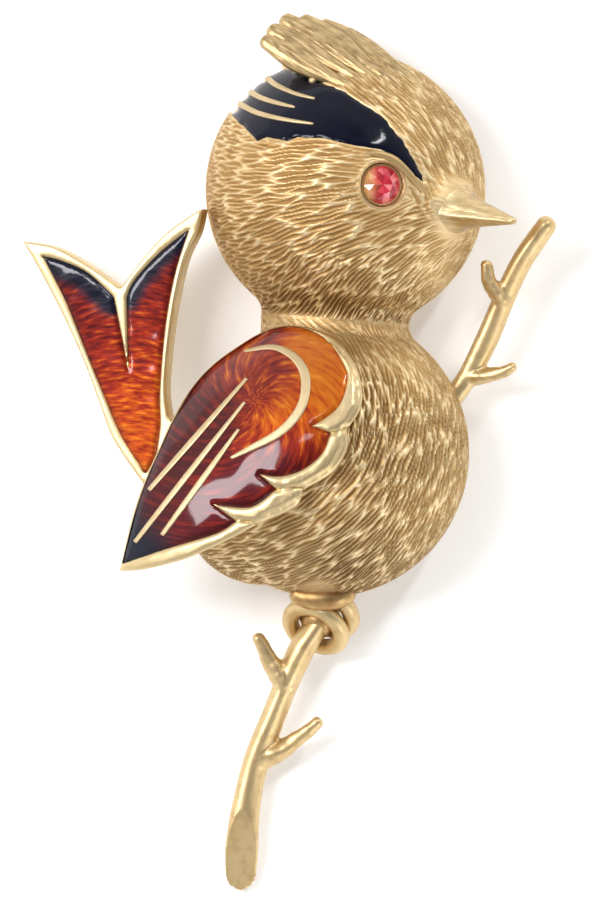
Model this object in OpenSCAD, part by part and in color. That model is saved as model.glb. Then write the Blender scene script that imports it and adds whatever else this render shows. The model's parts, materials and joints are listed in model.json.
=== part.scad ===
// A small cast bird brooch that lies on its back: +Z looks out of the front,
// +Y points up past the crest and +X to the beak. The origin is on the table,
// under the middle of the whole brooch. Sizes are in millimetres.

/* [Head and body] */
// Outer diameter of the head
head_d = 19.3; // [17.5:0.1:21]
// Outer diameter of the body
body_d = 19.9; // [18:0.1:22]
// Distance from the middle of the body to the middle of the head
head_rise = 18.1; // [17.5:0.1:19]
// Lean of the head to the right of upright, in degrees
lean = 4.5; // [0:0.1:10]
// Radius of the crease at the neck
neck_crease = 1.4; // [0.8:0.05:2]
// Diameter of the rounded rump
rump_d = 11.2; // [10:0.1:12]
// Thickness of the cast wall
wall = 0.8; // [0.6:0.05:1.2]
// Height of the open back rim above the table
rim_height = 3.6; // [3.2:0.05:4.6]
// Depth of the round middles of head and body below the rim
dome_drop = 1; // [0.4:0.05:1.4]
// Place of the body's middle to the right of the origin
body_right = 2.54; // [0:0.02:5]
// Place of the body's middle above the origin
body_up = -0.06; // [-3:0.02:3]

/* [Crest, beak and eye] */
// Radius of a crest lock at its tip
lock_r = 0.62; // [0.45:0.01:0.85]
// Length of the beak beyond the head
beak_length = 6.1; // [4.5:0.1:7.5]
// Diameter of the beak where it leaves the head
beak_d = 3; // [2.4:0.05:3.6]
// Diameter of the round eye stone
eye_d = 2.46; // [2:0.02:2.9]
// Width of the bare ring round the eye stone
eye_ring = 0.36; // [0.2:0.02:0.6]
// Thickness of the lid ridge over the eye
lid_d = 0.7; // [0.4:0.05:1]
// Diameter of the small gold bead at the root of the crest
bead_d = 0.55; // [0.4:0.05:0.8]

/* [Enamel] */
// Depth of the recesses that hold the enamel
enamel_depth = 0.36; // [0.25:0.01:0.5]
// Space left between separate pieces
gap = 0.05; // [0.03:0.01:0.08]
// How far the enamel's face lies below the gold round it
enamel_sunk = 0.02; // [0.01:0.01:0.1]

/* [Wing] */
// Length of the wing from its shoulder to its tip
wing_length = 22.3; // [20:0.1:24.5]
// Height of the wing's crown above the body's skin under it
wing_stand = 2; // [1.8:0.05:2.6]
// Radius that the wing bends to along its length
wing_bow = 27; // [26:0.5:34]
// Radius that the wing bends to across its width
wing_roll = 12; // [10.5:0.1:12.6]
// Thickness of the wing under its crown
wing_depth = 3.9; // [3.6:0.05:4.2]

/* [Tail] */
// Length of the tail from its root to its longer tip
tail_length = 16.8; // [15:0.1:18.5]
// Thickness of the tail plate
tail_thick = 1.5; // [1.1:0.05:1.8]
// Height of the tail's face above the table at its root
tail_height = 4.9; // [4.4:0.05:5.4]
// Turn of the tail about its length, right edge up, in degrees
tail_turn = 15; // [8:0.5:17]

/* [Feet and branch] */
// Straight distance from one end of the branch to the other
branch_length = 49.9; // [44:0.1:54]
// Radius of the branch where the toes hold it
branch_r = 0.75; // [0.6:0.01:0.82]
// Thickness of a toe
toe_d = 1.25; // [1:0.05:1.5]
// Radius of the ring that the toes make, to the middle of a toe
toe_ring = 1.9; // [1.85:0.01:2.2]

/* [Pin] */
// Diameter of the pin stem
pin_d = 0.8; // [0.6:0.05:1]
// Length of the pin stem from its hinge to its point
pin_length = 16.6; // [14:0.1:17]
// Width of the bar that carries the pin
bar_width = 2.2; // [1.6:0.1:3]
// Thickness of that bar
bar_thick = 0.8; // [0.6:0.05:1]

/* [Hidden] */
$fn = 72;

gold = "#d2aa5a";
head_r = head_d / 2;
body_r = body_d / 2;
rump_r = rump_d / 2;
eye_r = eye_d / 2;
far = 60;

// Middles of the body, the head and the rump
mid_z = rim_height - dome_drop;
body_c = [body_right, body_up, mid_z];
head_c = body_c + head_rise * [sin(lean), cos(lean), 0];
rump_c = body_c + body_r * [-0.433, -0.357, 0];

// The wing's root on the body, and its crown, which stands off the round body
wing_c = body_c + [-0.172 * body_r, 0.364 * body_r, 0];
wing_at = [-0.619, -0.014];
wing_mid = body_c + body_r * [wing_at[0], wing_at[1], sqrt(1 - wing_at * wing_at)] + [0, 0, wing_stand];

// Middle of the neck crease circle, measured along and across the neck
crease_along = (head_rise * head_rise + pow(body_r + neck_crease, 2) - pow(head_r + neck_crease, 2))
    / (2 * head_rise);
crease_out = sqrt(pow(body_r + neck_crease, 2) - crease_along * crease_along);

// Crest locks, in shares of the head's radius from the middle of the head:
// [root right, root up, root out, tip right, tip up, tip out, tip radius in lock_r]
LOCKS = [
    [-0.01,  0.72,  0.66, -0.57,  1.04,  0.46,  0.85],
    [ 0.04,  0.80,  0.57, -0.51,  1.11,  0.36,  1.00],
    [ 0.12,  0.83,  0.50, -0.42,  1.17,  0.26,  1.10],
    [ 0.21,  0.84,  0.45, -0.30,  1.17,  0.16,  1.10],
    [ 0.30,  0.82,  0.42, -0.14,  1.14,  0.08,  1.05],
    [ 0.39,  0.80,  0.38,  0.01,  1.08,  0.02,  1.00]
];

// Edge of the head's enamel stripe, in shares of the head's radius: [right, up]
STRIPE = [
    [-0.55,  0.94], [-0.68,  0.88], [-0.80,  0.78], [-0.89,  0.64], [-0.85,  0.57], [-0.77,  0.47],
    [-0.71,  0.42], [-0.63,  0.33], [-0.56,  0.36], [-0.41,  0.33], [-0.34,  0.36], [-0.15,  0.35],
    [ 0.05,  0.30], [ 0.25,  0.27], [ 0.38,  0.20], [ 0.46,  0.11], [ 0.58,  0.01], [ 0.54,  0.12],
    [ 0.42,  0.34], [ 0.27,  0.52], [ 0.09,  0.64], [-0.02,  0.71], [-0.22,  0.79], [-0.38,  0.86]
];

// Gold lines in the stripe, in shares of the head's radius: [right, up, width]
STRIPE_LINES = [
    [[-0.68,  0.89,  0.036], [-0.60,  0.82,  0.034], [-0.49,  0.74,  0.030], [-0.36,  0.68,  0.026],
     [-0.22,  0.64,  0.020]],
    [[-0.82,  0.78,  0.036], [-0.75,  0.74,  0.034], [-0.60,  0.65,  0.030], [-0.36,  0.58,  0.020]],
    [[-0.89,  0.68,  0.036], [-0.81,  0.64,  0.034], [-0.62,  0.54,  0.030], [-0.42,  0.49,  0.026],
     [-0.23,  0.46,  0.020]]
];

// Outer edge of the wing, in shares of its length from its root: [right, up, is a corner]
WING_EDGE = [
    [-0.101, 0.215, 0], [-0.199, 0.160, 0], [-0.276, 0.101, 0], [-0.337, 0.031, 0],
    [-0.387, -0.052, 0], [-0.429, -0.141, 0], [-0.472, -0.239, 0], [-0.512, -0.353, 0],
    [-0.553, -0.525, 1], [-0.472, -0.518, 0], [-0.347, -0.485, 0], [-0.209, -0.423, 0],
    [-0.129, -0.380, 0], [-0.012, -0.325, 0], [ 0.009, -0.276, 1], [ 0.101, -0.221, 0],
    [ 0.144, -0.150, 0], [ 0.144, -0.092, 1], [ 0.184, -0.031, 0], [ 0.190, 0.031, 0],
    [ 0.169, 0.110, 0], [ 0.101, 0.193, 0], [-0.009, 0.227, 0]
];

// Outer corners of the space left of the wing that the body keeps out of, in the same shares
FLANK_CORNERS = [[-0.61, -0.24], [-0.61, 0.33], [-0.20, 0.33], [-0.12, 0.26], [-0.08, 0.24]];

// Edge of the wing's enamel, in the same shares: [right, up, is a corner]
WING_FIELD = [
    [-0.009, 0.208, 0], [ 0.077, 0.177, 0], [ 0.129, 0.115, 0], [ 0.144, 0.058, 0],
    [ 0.113, -0.025, 0], [ 0.037, -0.080, 1], [ 0.092, -0.101, 1], [ 0.067, -0.163, 0],
    [ 0.009, -0.212, 0], [-0.061, -0.233, 0], [-0.123, -0.227, 1], [-0.074, -0.273, 1],
    [-0.144, -0.325, 0], [-0.227, -0.325, 0], [-0.264, -0.319, 1], [-0.196, -0.371, 1],
    [-0.255, -0.408, 0], [-0.402, -0.453, 0], [-0.534, -0.494, 1], [-0.497, -0.353, 0],
    [-0.458, -0.245, 0], [-0.415, -0.150, 0], [-0.372, -0.061, 0], [-0.323, 0.021, 0],
    [-0.265, 0.089, 0], [-0.191, 0.145, 0], [-0.098, 0.197, 0]
];

// Gold loop and lines inside the wing's enamel, in the same shares: [right, up, width]
WING_LINES = [
    [[-0.150, 0.156, 0.010], [-0.089, 0.163, 0.014], [-0.034, 0.144, 0.020], [ 0.003, 0.107, 0.024],
     [ 0.018, 0.058, 0.025], [ 0.009, -0.009, 0.025], [-0.025, -0.064, 0.024],
     [-0.074, -0.107, 0.020], [-0.144, -0.144, 0.014], [-0.212, -0.178, 0.008]],
    [[-0.163, 0.067, 0.010], [-0.313, -0.105, 0.014], [-0.463, -0.276, 0.012]],
    [[-0.169, -0.006, 0.010], [-0.338, -0.221, 0.014], [-0.506, -0.436, 0.012]],
    [[-0.187, -0.089, 0.010], [-0.305, -0.252, 0.014], [-0.423, -0.414, 0.012]]
];

// Edge of the tail plate, in shares of its length from its root: [right, up, is a corner]
TAIL_EDGE = [
    [-0.541, 0.812, 1], [-0.406, 0.788, 0], [-0.266, 0.714, 0], [-0.127, 0.620, 1],
    [-0.038, 0.735, 0], [ 0.063, 0.841, 0], [ 0.173, 0.918, 0], [ 0.220, 0.943, 1],
    [ 0.199, 0.849, 0], [ 0.148, 0.743, 0], [ 0.114, 0.612, 0], [ 0.084, 0.441, 0],
    [ 0.063, 0.220, 0], [ 0.076, 0.090, 1], [ 0.211, 0.000, 1], [ 0.190, -0.163, 1],
    [ 0.040, -0.200, 1], [-0.030, -0.180, 1], [-0.122, -0.053, 0], [-0.177, 0.045, 0],
    [-0.266, 0.282, 0], [-0.359, 0.486, 0], [-0.452, 0.661, 0]
];

// Edge of the tail's enamel, in the same shares: [right, up, is a corner]
TAIL_FIELD = [
    [-0.456, 0.751, 1], [-0.376, 0.731, 0], [-0.266, 0.682, 0], [-0.156, 0.584, 1],
    [-0.095, 0.290, 1], [-0.101, 0.584, 1], [-0.068, 0.653, 0], [ 0.042, 0.767, 0],
    [ 0.161, 0.857, 1], [ 0.110, 0.706, 0], [ 0.072, 0.531, 0], [ 0.050, 0.355, 0],
    [ 0.038, 0.176, 0], [ 0.040, 0.061, 0], [ 0.020, -0.080, 1], [-0.021, -0.135, 1],
    [-0.118, 0.008, 0], [-0.194, 0.176, 0], [-0.270, 0.355, 0], [-0.359, 0.567, 0]
];

// Middle line of the branch, in shares of its length from the place that the toes hold:
// [right, up, radius in branch_r, rise from lying on the table (0) to touching the rim (1)]
STEM = [
    [-0.104, -0.345, 1.28, 0.00], [-0.103, -0.300, 1.28, 0.02], [-0.098, -0.250, 1.18, 0.14],
    [-0.083, -0.184, 1.00, 0.38], [-0.058, -0.122, 0.98, 0.62], [-0.037, -0.070, 1.00, 0.84],
    [-0.018, -0.028, 1.04, 1.00], [ 0.000, 0.000, 1.00, 1.00], [ 0.034, 0.053, 0.92, 1.00],
    [ 0.143, 0.245, 0.84, 1.00], [ 0.187, 0.314, 0.84, 1.00], [ 0.209, 0.346, 0.84, 1.00],
    [ 0.234, 0.396, 0.90, 1.20], [ 0.259, 0.456, 0.90, 1.50], [ 0.284, 0.506, 0.84, 1.80],
    [ 0.317, 0.553, 0.80, 2.10]
];

// Short twigs: [row of STEM that it leaves, tip right, tip up, root radius, tip radius, tip rise]
TWIGS = [
    [3, -0.003, -0.135, 0.86, 0.52, 0.70],
    [5, -0.077, -0.019, 0.84, 0.48, 1.05],
    [11, 0.268, 0.357, 0.60, 0.42, 1.30],
    [13, 0.235, 0.494, 0.62, 0.50, 1.65]
];

// A smooth closed line through the rows of a table, sharp where the third column is 1
function leaving(t, i) = let(n = len(t), p = t[i], a = t[(i + n - 1) % n], b = t[(i + 1) % n])
    p[2] == 1 ? [b[0] - p[0], b[1] - p[1]] / 2 : [b[0] - a[0], b[1] - a[1]] / 2;
function arriving(t, i) = let(n = len(t), p = t[i], a = t[(i + n - 1) % n], b = t[(i + 1) % n])
    p[2] == 1 ? [p[0] - a[0], p[1] - a[1]] / 2 : [b[0] - a[0], b[1] - a[1]] / 2;
function hermite(p, u, q, v, s) = (2 * s * s * s - 3 * s * s + 1) * p + (s * s * s - 2 * s * s + s) * u
    + (3 * s * s - 2 * s * s * s) * q + (s * s * s - s * s) * v;
function smooth(t, steps) = [for (i = [0:len(t) - 1]) let(j = (i + 1) % len(t))
    for (k = [0:steps - 1])
        hermite([t[i][0], t[i][1]], leaving(t, i), [t[j][0], t[j][1]], arriving(t, j), k / steps)];

// A flat ribbon along the rows of a table [right, up, width]
function across(t, i) = let(n = len(t) - 1, a = t[max(i - 1, 0)], b = t[min(i + 1, n)],
    d = [b[0] - a[0], b[1] - a[1]]) [-d[1], d[0]] / norm(d);
function side(t, i, s) = [t[i][0], t[i][1]] + s * t[i][2] / 2 * across(t, i);
function ribbon(t) = concat([for (i = [0:len(t) - 1]) side(t, i, 1)],
    [for (i = [len(t) - 1:-1:0]) side(t, i, -1)]);

// How far inside the wing's edge the body's flank stays
flank_inset = 0.35;

// Places on the round head and on the branch
function on_head(p) = head_c + head_r * p;
leg_reach = 1.203;
grip = body_c + [-0.062 * body_r, -leg_reach * body_r, -mid_z];
function stem_z(r, rise) = r + rise * (rim_height - gap - 2 * r);
function stem_at(i) = [grip[0] + branch_length * STEM[i][0], grip[1] + branch_length * STEM[i][1],
    stem_z(branch_r * STEM[i][2], STEM[i][3])];

// Width of a lock's straight stretch, in shares of its round ends
lock_waist = 0.92;

// Turns its children so that +Z runs along a direction
module aim(d) {
    rotate([0, acos(d[2] / norm(d)), atan2(d[1], d[0])])
        children();
}

// A straight round lock from p to q, round at both ends and a little slimmer between them
module lock(p, rp, q, rq) {
    reach = norm(q - p);
    translate(p)
        aim(q - p)
            rotate_extrude()
                intersection() {
                    union() {
                        circle(rp);
                        translate([0, reach])
                            circle(rq);
                        polygon([[0, 0], [rp * lock_waist, 0], [rq * lock_waist, reach], [0, reach]]);
                    }
                    translate([0, -far])
                        square([far, 2 * far]);
                }
}

// Half of the outline of head, neck and body, grown outwards
module half_outline(grow) {
    body_touch = (body_r + grow) / (body_r + neck_crease) * [crease_out, crease_along];
    head_touch = [0, head_rise]
        + (head_r + grow) / (head_r + neck_crease) * [crease_out, crease_along - head_rise];
    intersection() {
        translate([0, -far])
            square([far, 2 * far]);
        difference() {
            union() {
                circle(body_r + grow);
                translate([0, head_rise])
                    circle(head_r + grow);
                polygon([[0, 0], body_touch, head_touch, [0, head_rise]]);
            }
            translate([crease_out, crease_along])
                circle(neck_crease - grow + 0.01);
        }
    }
}

// Head, neck, body and rump as one round solid, flattened where the wing lies, grown outwards
module bird_form(grow) {
    difference() {
        union() {
            translate(body_c)
                rotate([-90, 0, -lean])
                    rotate_extrude()
                        half_outline(grow);
            translate(rump_c)
                sphere(rump_r + grow);
        }
        translate([wing_c[0], wing_c[1], -far / 2])
            linear_extrude(far)
                offset(delta = flank_inset - grow)
                    polygon(wing_length * concat(FLANK_CORNERS, [for (i = [0:6]) [WING_EDGE[i][0],
                        WING_EDGE[i][1]]]));
    }
}

// The head's enamel stripe, looked at from the front
module stripe_flat(grow) {
    offset(delta = grow)
        difference() {
            polygon([for (p = STRIPE) head_r * p]);
            for (t = STRIPE_LINES)
                polygon(head_r * ribbon(t));
        }
}

// A layer of the head under the stripe, between two depths
module stripe_layer(grow, top, bottom) {
    intersection() {
        translate([head_c[0], head_c[1], head_c[2] + 0.2 * head_r - grow])
            linear_extrude(head_r)
                stripe_flat(grow);
        difference() {
            translate(head_c)
                sphere(head_r + top);
            translate(head_c)
                sphere(head_r - bottom);
        }
    }
}

module crest(grow) {
    for (t = LOCKS)
        lock(on_head([t[0], t[1], t[2]]), lock_r * 1.15 + grow,
             on_head([t[3], t[4], t[5]]), lock_r * t[6] + grow);
    translate(on_head([-0.02, 0.84, 0.22]))
        sphere(head_r * 0.27 + grow);
}

// Direction from the middle of the head to the eye and to the beak
function out_of(x, y) = [x, y, sqrt(1 - x * x - y * y)];
eye_dir = out_of(0.265, 0.028);
beak_dir = out_of(0.748, -0.145);
bead_dir = out_of(-0.233, 0.77);
stone_depth = 0.62 * eye_r;
socket_r = eye_r + eye_ring;
socket_depth = stone_depth + 0.3;

// The beak: a pointed arch turned round its own axis, with a blunt end
module beak() {
    reach = beak_length + 1.2;
    arch = (reach * reach + pow(beak_d / 2, 2)) / beak_d;
    translate(head_c + (head_r - 1.2) * beak_dir)
        aim(beak_dir)
            rotate_extrude()
                intersection() {
                    translate([beak_d / 2 - arch, 0])
                        circle(arch, $fn = 180);
                    square([beak_d, reach * 0.96]);
                }
}

module eye_lid() {
    translate(head_c + (head_r - 0.1) * eye_dir)
        aim(eye_dir)
            rotate([0, 0, 20])
                rotate_extrude(angle = 150)
                    translate([socket_r + 0.1, 0])
                        circle(lid_d / 2, $fn = 32);
}

module eye_boss() {
    translate(head_c + (head_r - socket_depth - wall) * eye_dir)
        aim(eye_dir)
            cylinder(h = wall + socket_depth / 2, r = socket_r + wall / 2);
}

module eye_socket() {
    translate(head_c + (head_r - socket_depth) * eye_dir)
        aim(eye_dir) {
            cylinder(h = socket_depth + 1, r = eye_r + gap);
            translate([0, 0, stone_depth + 0.1])
                cylinder(h = 1.2, r1 = socket_r * 0.95, r2 = socket_r * 1.1);
        }
}

// The toes: two rings round the branch, tipped toward the front, and two short legs
toe_dir = [-0.42, -0.66, 0.62];
grip_dir = [0.54, 0.84, 0];
grip_z = stem_z(branch_r, 1);
leg_r = 0.8 * toe_d;
leg_apart = 0.85 * leg_r;
leg_right = 0.15;

module toes() {
    for (step = [0, 1])
        translate([grip[0], grip[1], grip_z] + step * toe_d * 1.05 * grip_dir)
            aim(toe_dir)
                rotate_extrude()
                    translate([toe_ring, 0])
                        circle(toe_d / 2, $fn = 32);
    for (s = [-1, 1])
        translate([grip[0] + leg_right + s * leg_apart, grip[1] + toe_ring * 0.5, grip_z + toe_ring])
            rotate([-90, 0, 0])
                cylinder(h = (leg_reach - 1) * body_r - toe_ring * 0.5 + wall + 0.4, r = leg_r);
}

module bird_shell() {
    color(gold) {
        difference() {
            union() {
                difference() {
                    union() {
                        bird_form(0);
                        crest(0);
                        beak();
                    }
                    bird_form(-wall);
                }
                intersection() {
                    bird_form(0);
                    eye_boss();
                }
                eye_lid();
                translate(head_c + head_r * bead_dir)
                    sphere(bead_d / 2);
            }
            eye_socket();
            stripe_layer(0, enamel_depth, enamel_depth);
            translate([-far, -far, rim_height - far])
                cube([2 * far, 2 * far, far]);
        }
        toes();
    }
}

module head_enamel() {
    color("#11131f")
        difference() {
            stripe_layer(-gap, -enamel_sunk, enamel_depth - gap);
            crest(gap);
            translate(head_c + head_r * bead_dir)
                sphere(bead_d / 2 + gap);
        }
}

// A round stone cut with eight main facets, eight between them and a table
module eye_stone() {
    color("#c8203a")
        translate(head_c + (head_r - socket_depth + 0.1) * eye_dir)
            aim(eye_dir) {
                cylinder(h = stone_depth, r1 = eye_r * 0.1, r2 = eye_r, $fn = 8);
                translate([0, 0, stone_depth])
                    intersection() {
                        cylinder(h = eye_r * 0.34, r1 = eye_r, r2 = eye_r * 0.55, $fn = 8);
                        rotate([0, 0, 22.5])
                            cylinder(h = eye_r * 0.34, r1 = eye_r * 1.02, r2 = eye_r * 0.6, $fn = 8);
                    }
            }
}

// The slope of the wing's own plane, and the way its length runs
wing_slope = [-0.38, 0.25, 1];
wing_heading = [-0.687, -0.726];

// Stands its children in the wing's own plane, +X along its length, +Z out
module wing_plane() {
    n = wing_slope / norm(wing_slope);
    along = [wing_heading[0], wing_heading[1],
             -(n[0] * wing_heading[0] + n[1] * wing_heading[1]) / n[2]];
    x = along / norm(along);
    y = cross(n, x);
    multmatrix([[x[0], y[0], n[0], wing_mid[0]], [x[1], y[1], n[1], wing_mid[1]],
                [x[2], y[2], n[2], wing_mid[2]]])
        children();
}

// The wing's crowned surface, sunk by a depth
module wing_dome(sunk) {
    wing_plane()
        translate([0, 0, -wing_bow])
            rotate([90, 0, 0])
                rotate_extrude($fn = 120)
                    translate([wing_bow - wing_roll, 0])
                        circle(wing_roll - sunk, $fn = 120);
}

// Everything in the wing's outline between its crowned face and its flat back
module wing_solid(sunk) {
    intersection() {
        translate([wing_c[0], wing_c[1], rim_height])
            linear_extrude(body_d)
                children();
        wing_dome(sunk);
        wing_plane()
            translate([-far, -far, -wing_depth])
                cube([2 * far, 2 * far, far]);
    }
}

// The wing's enamel as seen from the front
module wing_flat(grow) {
    offset(delta = grow)
        difference() {
            polygon(wing_length * smooth(WING_FIELD, 3));
            for (t = WING_LINES)
                polygon(wing_length * ribbon(t));
        }
}

module wing_layer(grow, top, bottom) {
    difference() {
        wing_solid(top)
            wing_flat(grow);
        wing_dome(bottom);
    }
}

module wing_frame() {
    color(gold)
        difference() {
            wing_solid(0)
                polygon(wing_length * smooth(WING_EDGE, 3));
            bird_form(gap);
            wing_layer(0, -enamel_depth, enamel_depth);
        }
}

module wing_enamel() {
    color("#b5431c")
        wing_layer(-gap, enamel_sunk, enamel_depth - gap);
}

// Stands its children in the tail's own plane, with its face at z = 0
tail_root = [body_c[0] - 1.203 * body_r, body_c[1] + 0.089 * body_r, tail_height];

module tail_plane() {
    translate(tail_root)
        rotate([0, -tail_turn, 0])
            children();
}

module tail_layer(table, grow, top, bottom) {
    tail_plane()
        translate([0, 0, -bottom])
            linear_extrude(bottom - top)
                offset(delta = grow)
                    polygon(tail_length * smooth(table, 3));
}

module tail_frame() {
    color(gold)
        difference() {
            tail_layer(TAIL_EDGE, 0, 0, tail_thick);
            tail_layer(TAIL_FIELD, 0, -enamel_depth, enamel_depth);
            bird_form(gap);
        }
}

module tail_enamel() {
    color("#a8361c")
        tail_layer(TAIL_FIELD, -gap, enamel_sunk, enamel_depth - gap);
}

module ball(p, r) {
    translate(p)
        sphere(r, $fn = 14);
}

// The branch: a bent round stem with four twigs and one end cut on a slant
module branch() {
    low = stem_at(0);
    color(gold)
        difference() {
            union() {
                for (i = [0:len(STEM) - 2])
                    hull() {
                        ball(stem_at(i), branch_r * STEM[i][2]);
                        ball(stem_at(i + 1), branch_r * STEM[i + 1][2]);
                    }
                for (t = TWIGS)
                    hull() {
                        ball(stem_at(t[0]), branch_r * t[3]);
                        ball([grip[0] + branch_length * t[1], grip[1] + branch_length * t[2],
                              stem_z(branch_r * t[4], t[5])], branch_r * t[4]);
                    }
            }
            translate([low[0] - far / 2, low[1] - 1.3 * branch_r, branch_r * 0.35])
                rotate([18, 0, 0])
                    translate([0, -far / 2, 0])
                        cube([far, far / 2 + 7 * branch_r, far]);
        }
}

// The pin: a bar soldered across the rim behind the head, a hinge, a stem and a catch
bar_up = -0.12 * head_r;
hinge_r = 1.1;
hook_width = 1.4;
hook_back = 1.5 * hook_width;
bar_half = sqrt(head_r * head_r - dome_drop * dome_drop - pow(abs(bar_up) + bar_width / 2, 2));
bar_top = rim_height - gap;
stem_left = -bar_half + hinge_r + 0.4;

module pin_fitting() {
    color(gold)
        translate([head_c[0], head_c[1] + bar_up, 0]) {
            translate([-bar_half, -bar_width / 2, bar_top - bar_thick])
                cube([2 * bar_half, bar_width, bar_thick]);
            translate([stem_left, 0, hinge_r])
                rotate([90, 0, 0])
                    cylinder(h = bar_width, r = hinge_r, center = true);
            translate([stem_left - hinge_r, -bar_width / 2, hinge_r])
                cube([2 * hinge_r, bar_width, bar_top - hinge_r - bar_thick / 2]);
            translate([stem_left, 0, hinge_r])
                rotate([0, 90, 0]) {
                    cylinder(h = pin_length - pin_d, r = pin_d / 2);
                    translate([0, 0, pin_length - pin_d])
                        cylinder(h = pin_d, r1 = pin_d / 2, r2 = pin_d / 8);
                }
            catch_hook();
        }
}

// A hook that is open on one side and closes round the stem's point
module catch_hook() {
    at = stem_left + pin_length - pin_d - hook_width;
    difference() {
        union() {
            translate([at, 0, hinge_r])
                rotate([0, 90, 0])
                    cylinder(h = hook_width, r = hinge_r, center = true);
            translate([at - hook_width / 2, 0, hinge_r])
                cube([hook_width, hinge_r, bar_top - hinge_r - bar_thick / 2]);
        }
        translate([at, 0, hinge_r])
            rotate([0, 90, 0])
                cylinder(h = 2 * hook_back, r = pin_d / 2 + gap, center = true);
        translate([at - hook_back, -2 * hinge_r, hinge_r - pin_d / 2 - gap])
            cube([2 * hook_back, 2 * hinge_r, pin_d + 2 * gap]);
    }
}

bird_shell();
head_enamel();
eye_stone();
wing_frame();
wing_enamel();
tail_frame();
tail_enamel();
branch();
pin_fitting();
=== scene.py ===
import json
import math

import bpy
import numpy as np
from mathutils import Matrix
from mathutils.geometry import delaunay_2d_cdt

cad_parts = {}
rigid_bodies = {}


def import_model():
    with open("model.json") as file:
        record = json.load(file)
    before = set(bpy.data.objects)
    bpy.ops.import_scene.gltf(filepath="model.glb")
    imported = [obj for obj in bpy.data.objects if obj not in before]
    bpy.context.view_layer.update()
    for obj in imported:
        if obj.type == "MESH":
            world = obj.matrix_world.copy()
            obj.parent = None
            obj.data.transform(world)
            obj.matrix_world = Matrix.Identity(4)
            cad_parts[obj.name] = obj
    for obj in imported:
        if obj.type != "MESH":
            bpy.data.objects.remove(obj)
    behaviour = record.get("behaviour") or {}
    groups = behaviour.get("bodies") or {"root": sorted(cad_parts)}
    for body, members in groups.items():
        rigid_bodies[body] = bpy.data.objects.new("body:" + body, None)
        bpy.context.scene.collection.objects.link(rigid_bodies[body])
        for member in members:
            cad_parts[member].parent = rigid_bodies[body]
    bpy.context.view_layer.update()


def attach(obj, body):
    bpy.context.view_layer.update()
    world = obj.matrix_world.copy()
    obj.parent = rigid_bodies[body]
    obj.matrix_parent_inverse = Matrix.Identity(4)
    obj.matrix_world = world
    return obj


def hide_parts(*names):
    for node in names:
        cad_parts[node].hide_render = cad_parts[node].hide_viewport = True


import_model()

# The table and the studio. The brooch lies on its back on a sheet of white card, under
# broad soft lamps, and the camera looks straight down on it from far off.
MM = 0.001
PHOTO_SIZE = (600, 900)
PHOTO_MIDDLE = (287.8, 452.15)
MM_PER_PIXEL = 0.0684
CAMERA_RISE = 1500
FACE_HEIGHT = 8
CARD_HALF = 900
CARD_GLOW = 0.24
SENSOR = 36


def place_in_photo(right, down):
    """Where a pixel of the photograph lies on the table, in millimetres."""
    return np.array([right - PHOTO_MIDDLE[0], PHOTO_MIDDLE[1] - down]) * MM_PER_PIXEL


def put_in_scene(name, data):
    thing = bpy.data.objects.new(name, data)
    bpy.context.scene.collection.objects.link(thing)
    return thing


def mesh_piece(name, corners, faces, smooth=True, crisp=None):
    """An object from corners in millimetres. Edges sharper than crisp degrees stay crisp."""
    mesh = bpy.data.meshes.new(name)
    mesh.from_pydata((np.asarray(corners, float) * MM).tolist(), [], [list(map(int, f)) for f in faces])
    mesh.validate()
    mesh.polygons.foreach_set("use_smooth", [smooth] * len(mesh.polygons))
    if crisp:
        mesh.set_sharp_from_angle(angle=math.radians(crisp))
    return put_in_scene(name, mesh)


class Wire:
    """A material's socket. Python's operators on it add Math nodes, add() any other node."""

    def __init__(self, tree, socket=None):
        self.tree = tree
        self.socket = socket

    def add(self, kind, settings, sockets, out=0):
        """Adds a node: its settings come first, and then the values or wires of its sockets."""
        node = self.tree.nodes.new("ShaderNode" + kind)
        for name, value in settings.items():
            if name == "stops":
                ramp = node.color_ramp
                ramp.elements.remove(ramp.elements[1])
                for index, (place, colour) in enumerate(value):
                    stop = ramp.elements.new(place) if index else ramp.elements[0]
                    stop.position = place
                    stop.color = (*colour, 1)
            else:
                setattr(node, name, value)
        for name, value in sockets.items():
            if isinstance(value, Wire):
                self.tree.links.new(value.socket, node.inputs[name])
            else:
                node.inputs[name].default_value = value
        return Wire(self.tree, node.outputs[out])

    def sum_of(self, operation, first, second):
        return self.add("Math", {"operation": operation}, {0: first, 1: second})

    def __add__(self, other):
        return self.sum_of("ADD", self, other)

    def __radd__(self, other):
        return self.sum_of("ADD", other, self)

    def __sub__(self, other):
        return self.sum_of("SUBTRACT", self, other)

    def __rsub__(self, other):
        return self.sum_of("SUBTRACT", other, self)

    def __mul__(self, other):
        return self.sum_of("MULTIPLY", self, other)

    def __rmul__(self, other):
        return self.sum_of("MULTIPLY", other, self)

    def clamped(self):
        return self.add("Clamp", {}, {"Value": self})

    def blend(self, first, second, share):
        return self.add("Mix", {"data_type": "RGBA"}, {0: share, 6: first, 7: second}, 2)

    def place(self):
        return self.add("TexCoord", {}, {}, 3)

    def speckle(self, size, detail=2.0):
        """Noise whose spots are about so many millimetres across."""
        return self.add("TexNoise", {}, {"Vector": self.place(), "Scale": 1 / (size * MM),
                                         "Detail": detail})

    def strokes(self, where, stretch, detail):
        """Noise drawn out along the axes of a place, by a stretch for each."""
        place = self.add("VectorMath", {"operation": "MULTIPLY"}, {0: where, 1: stretch})
        return self.add("TexNoise", {}, {"Vector": place, "Scale": 1.0, "Detail": detail})

    def marked(self, name, out=2):
        """What mark() wrote on the mesh: a number, or a place with out=1."""
        return self.add("Attribute", {"attribute_name": name}, {}, out)

    def ramp(self, share, stops):
        return self.add("ValToRGB", {"stops": stops}, {"Fac": share.clamped()})

    def bump(self, height, depth):
        return self.add("Bump", {}, {"Strength": 1.0, "Distance": depth * MM, "Height": height})


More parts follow.
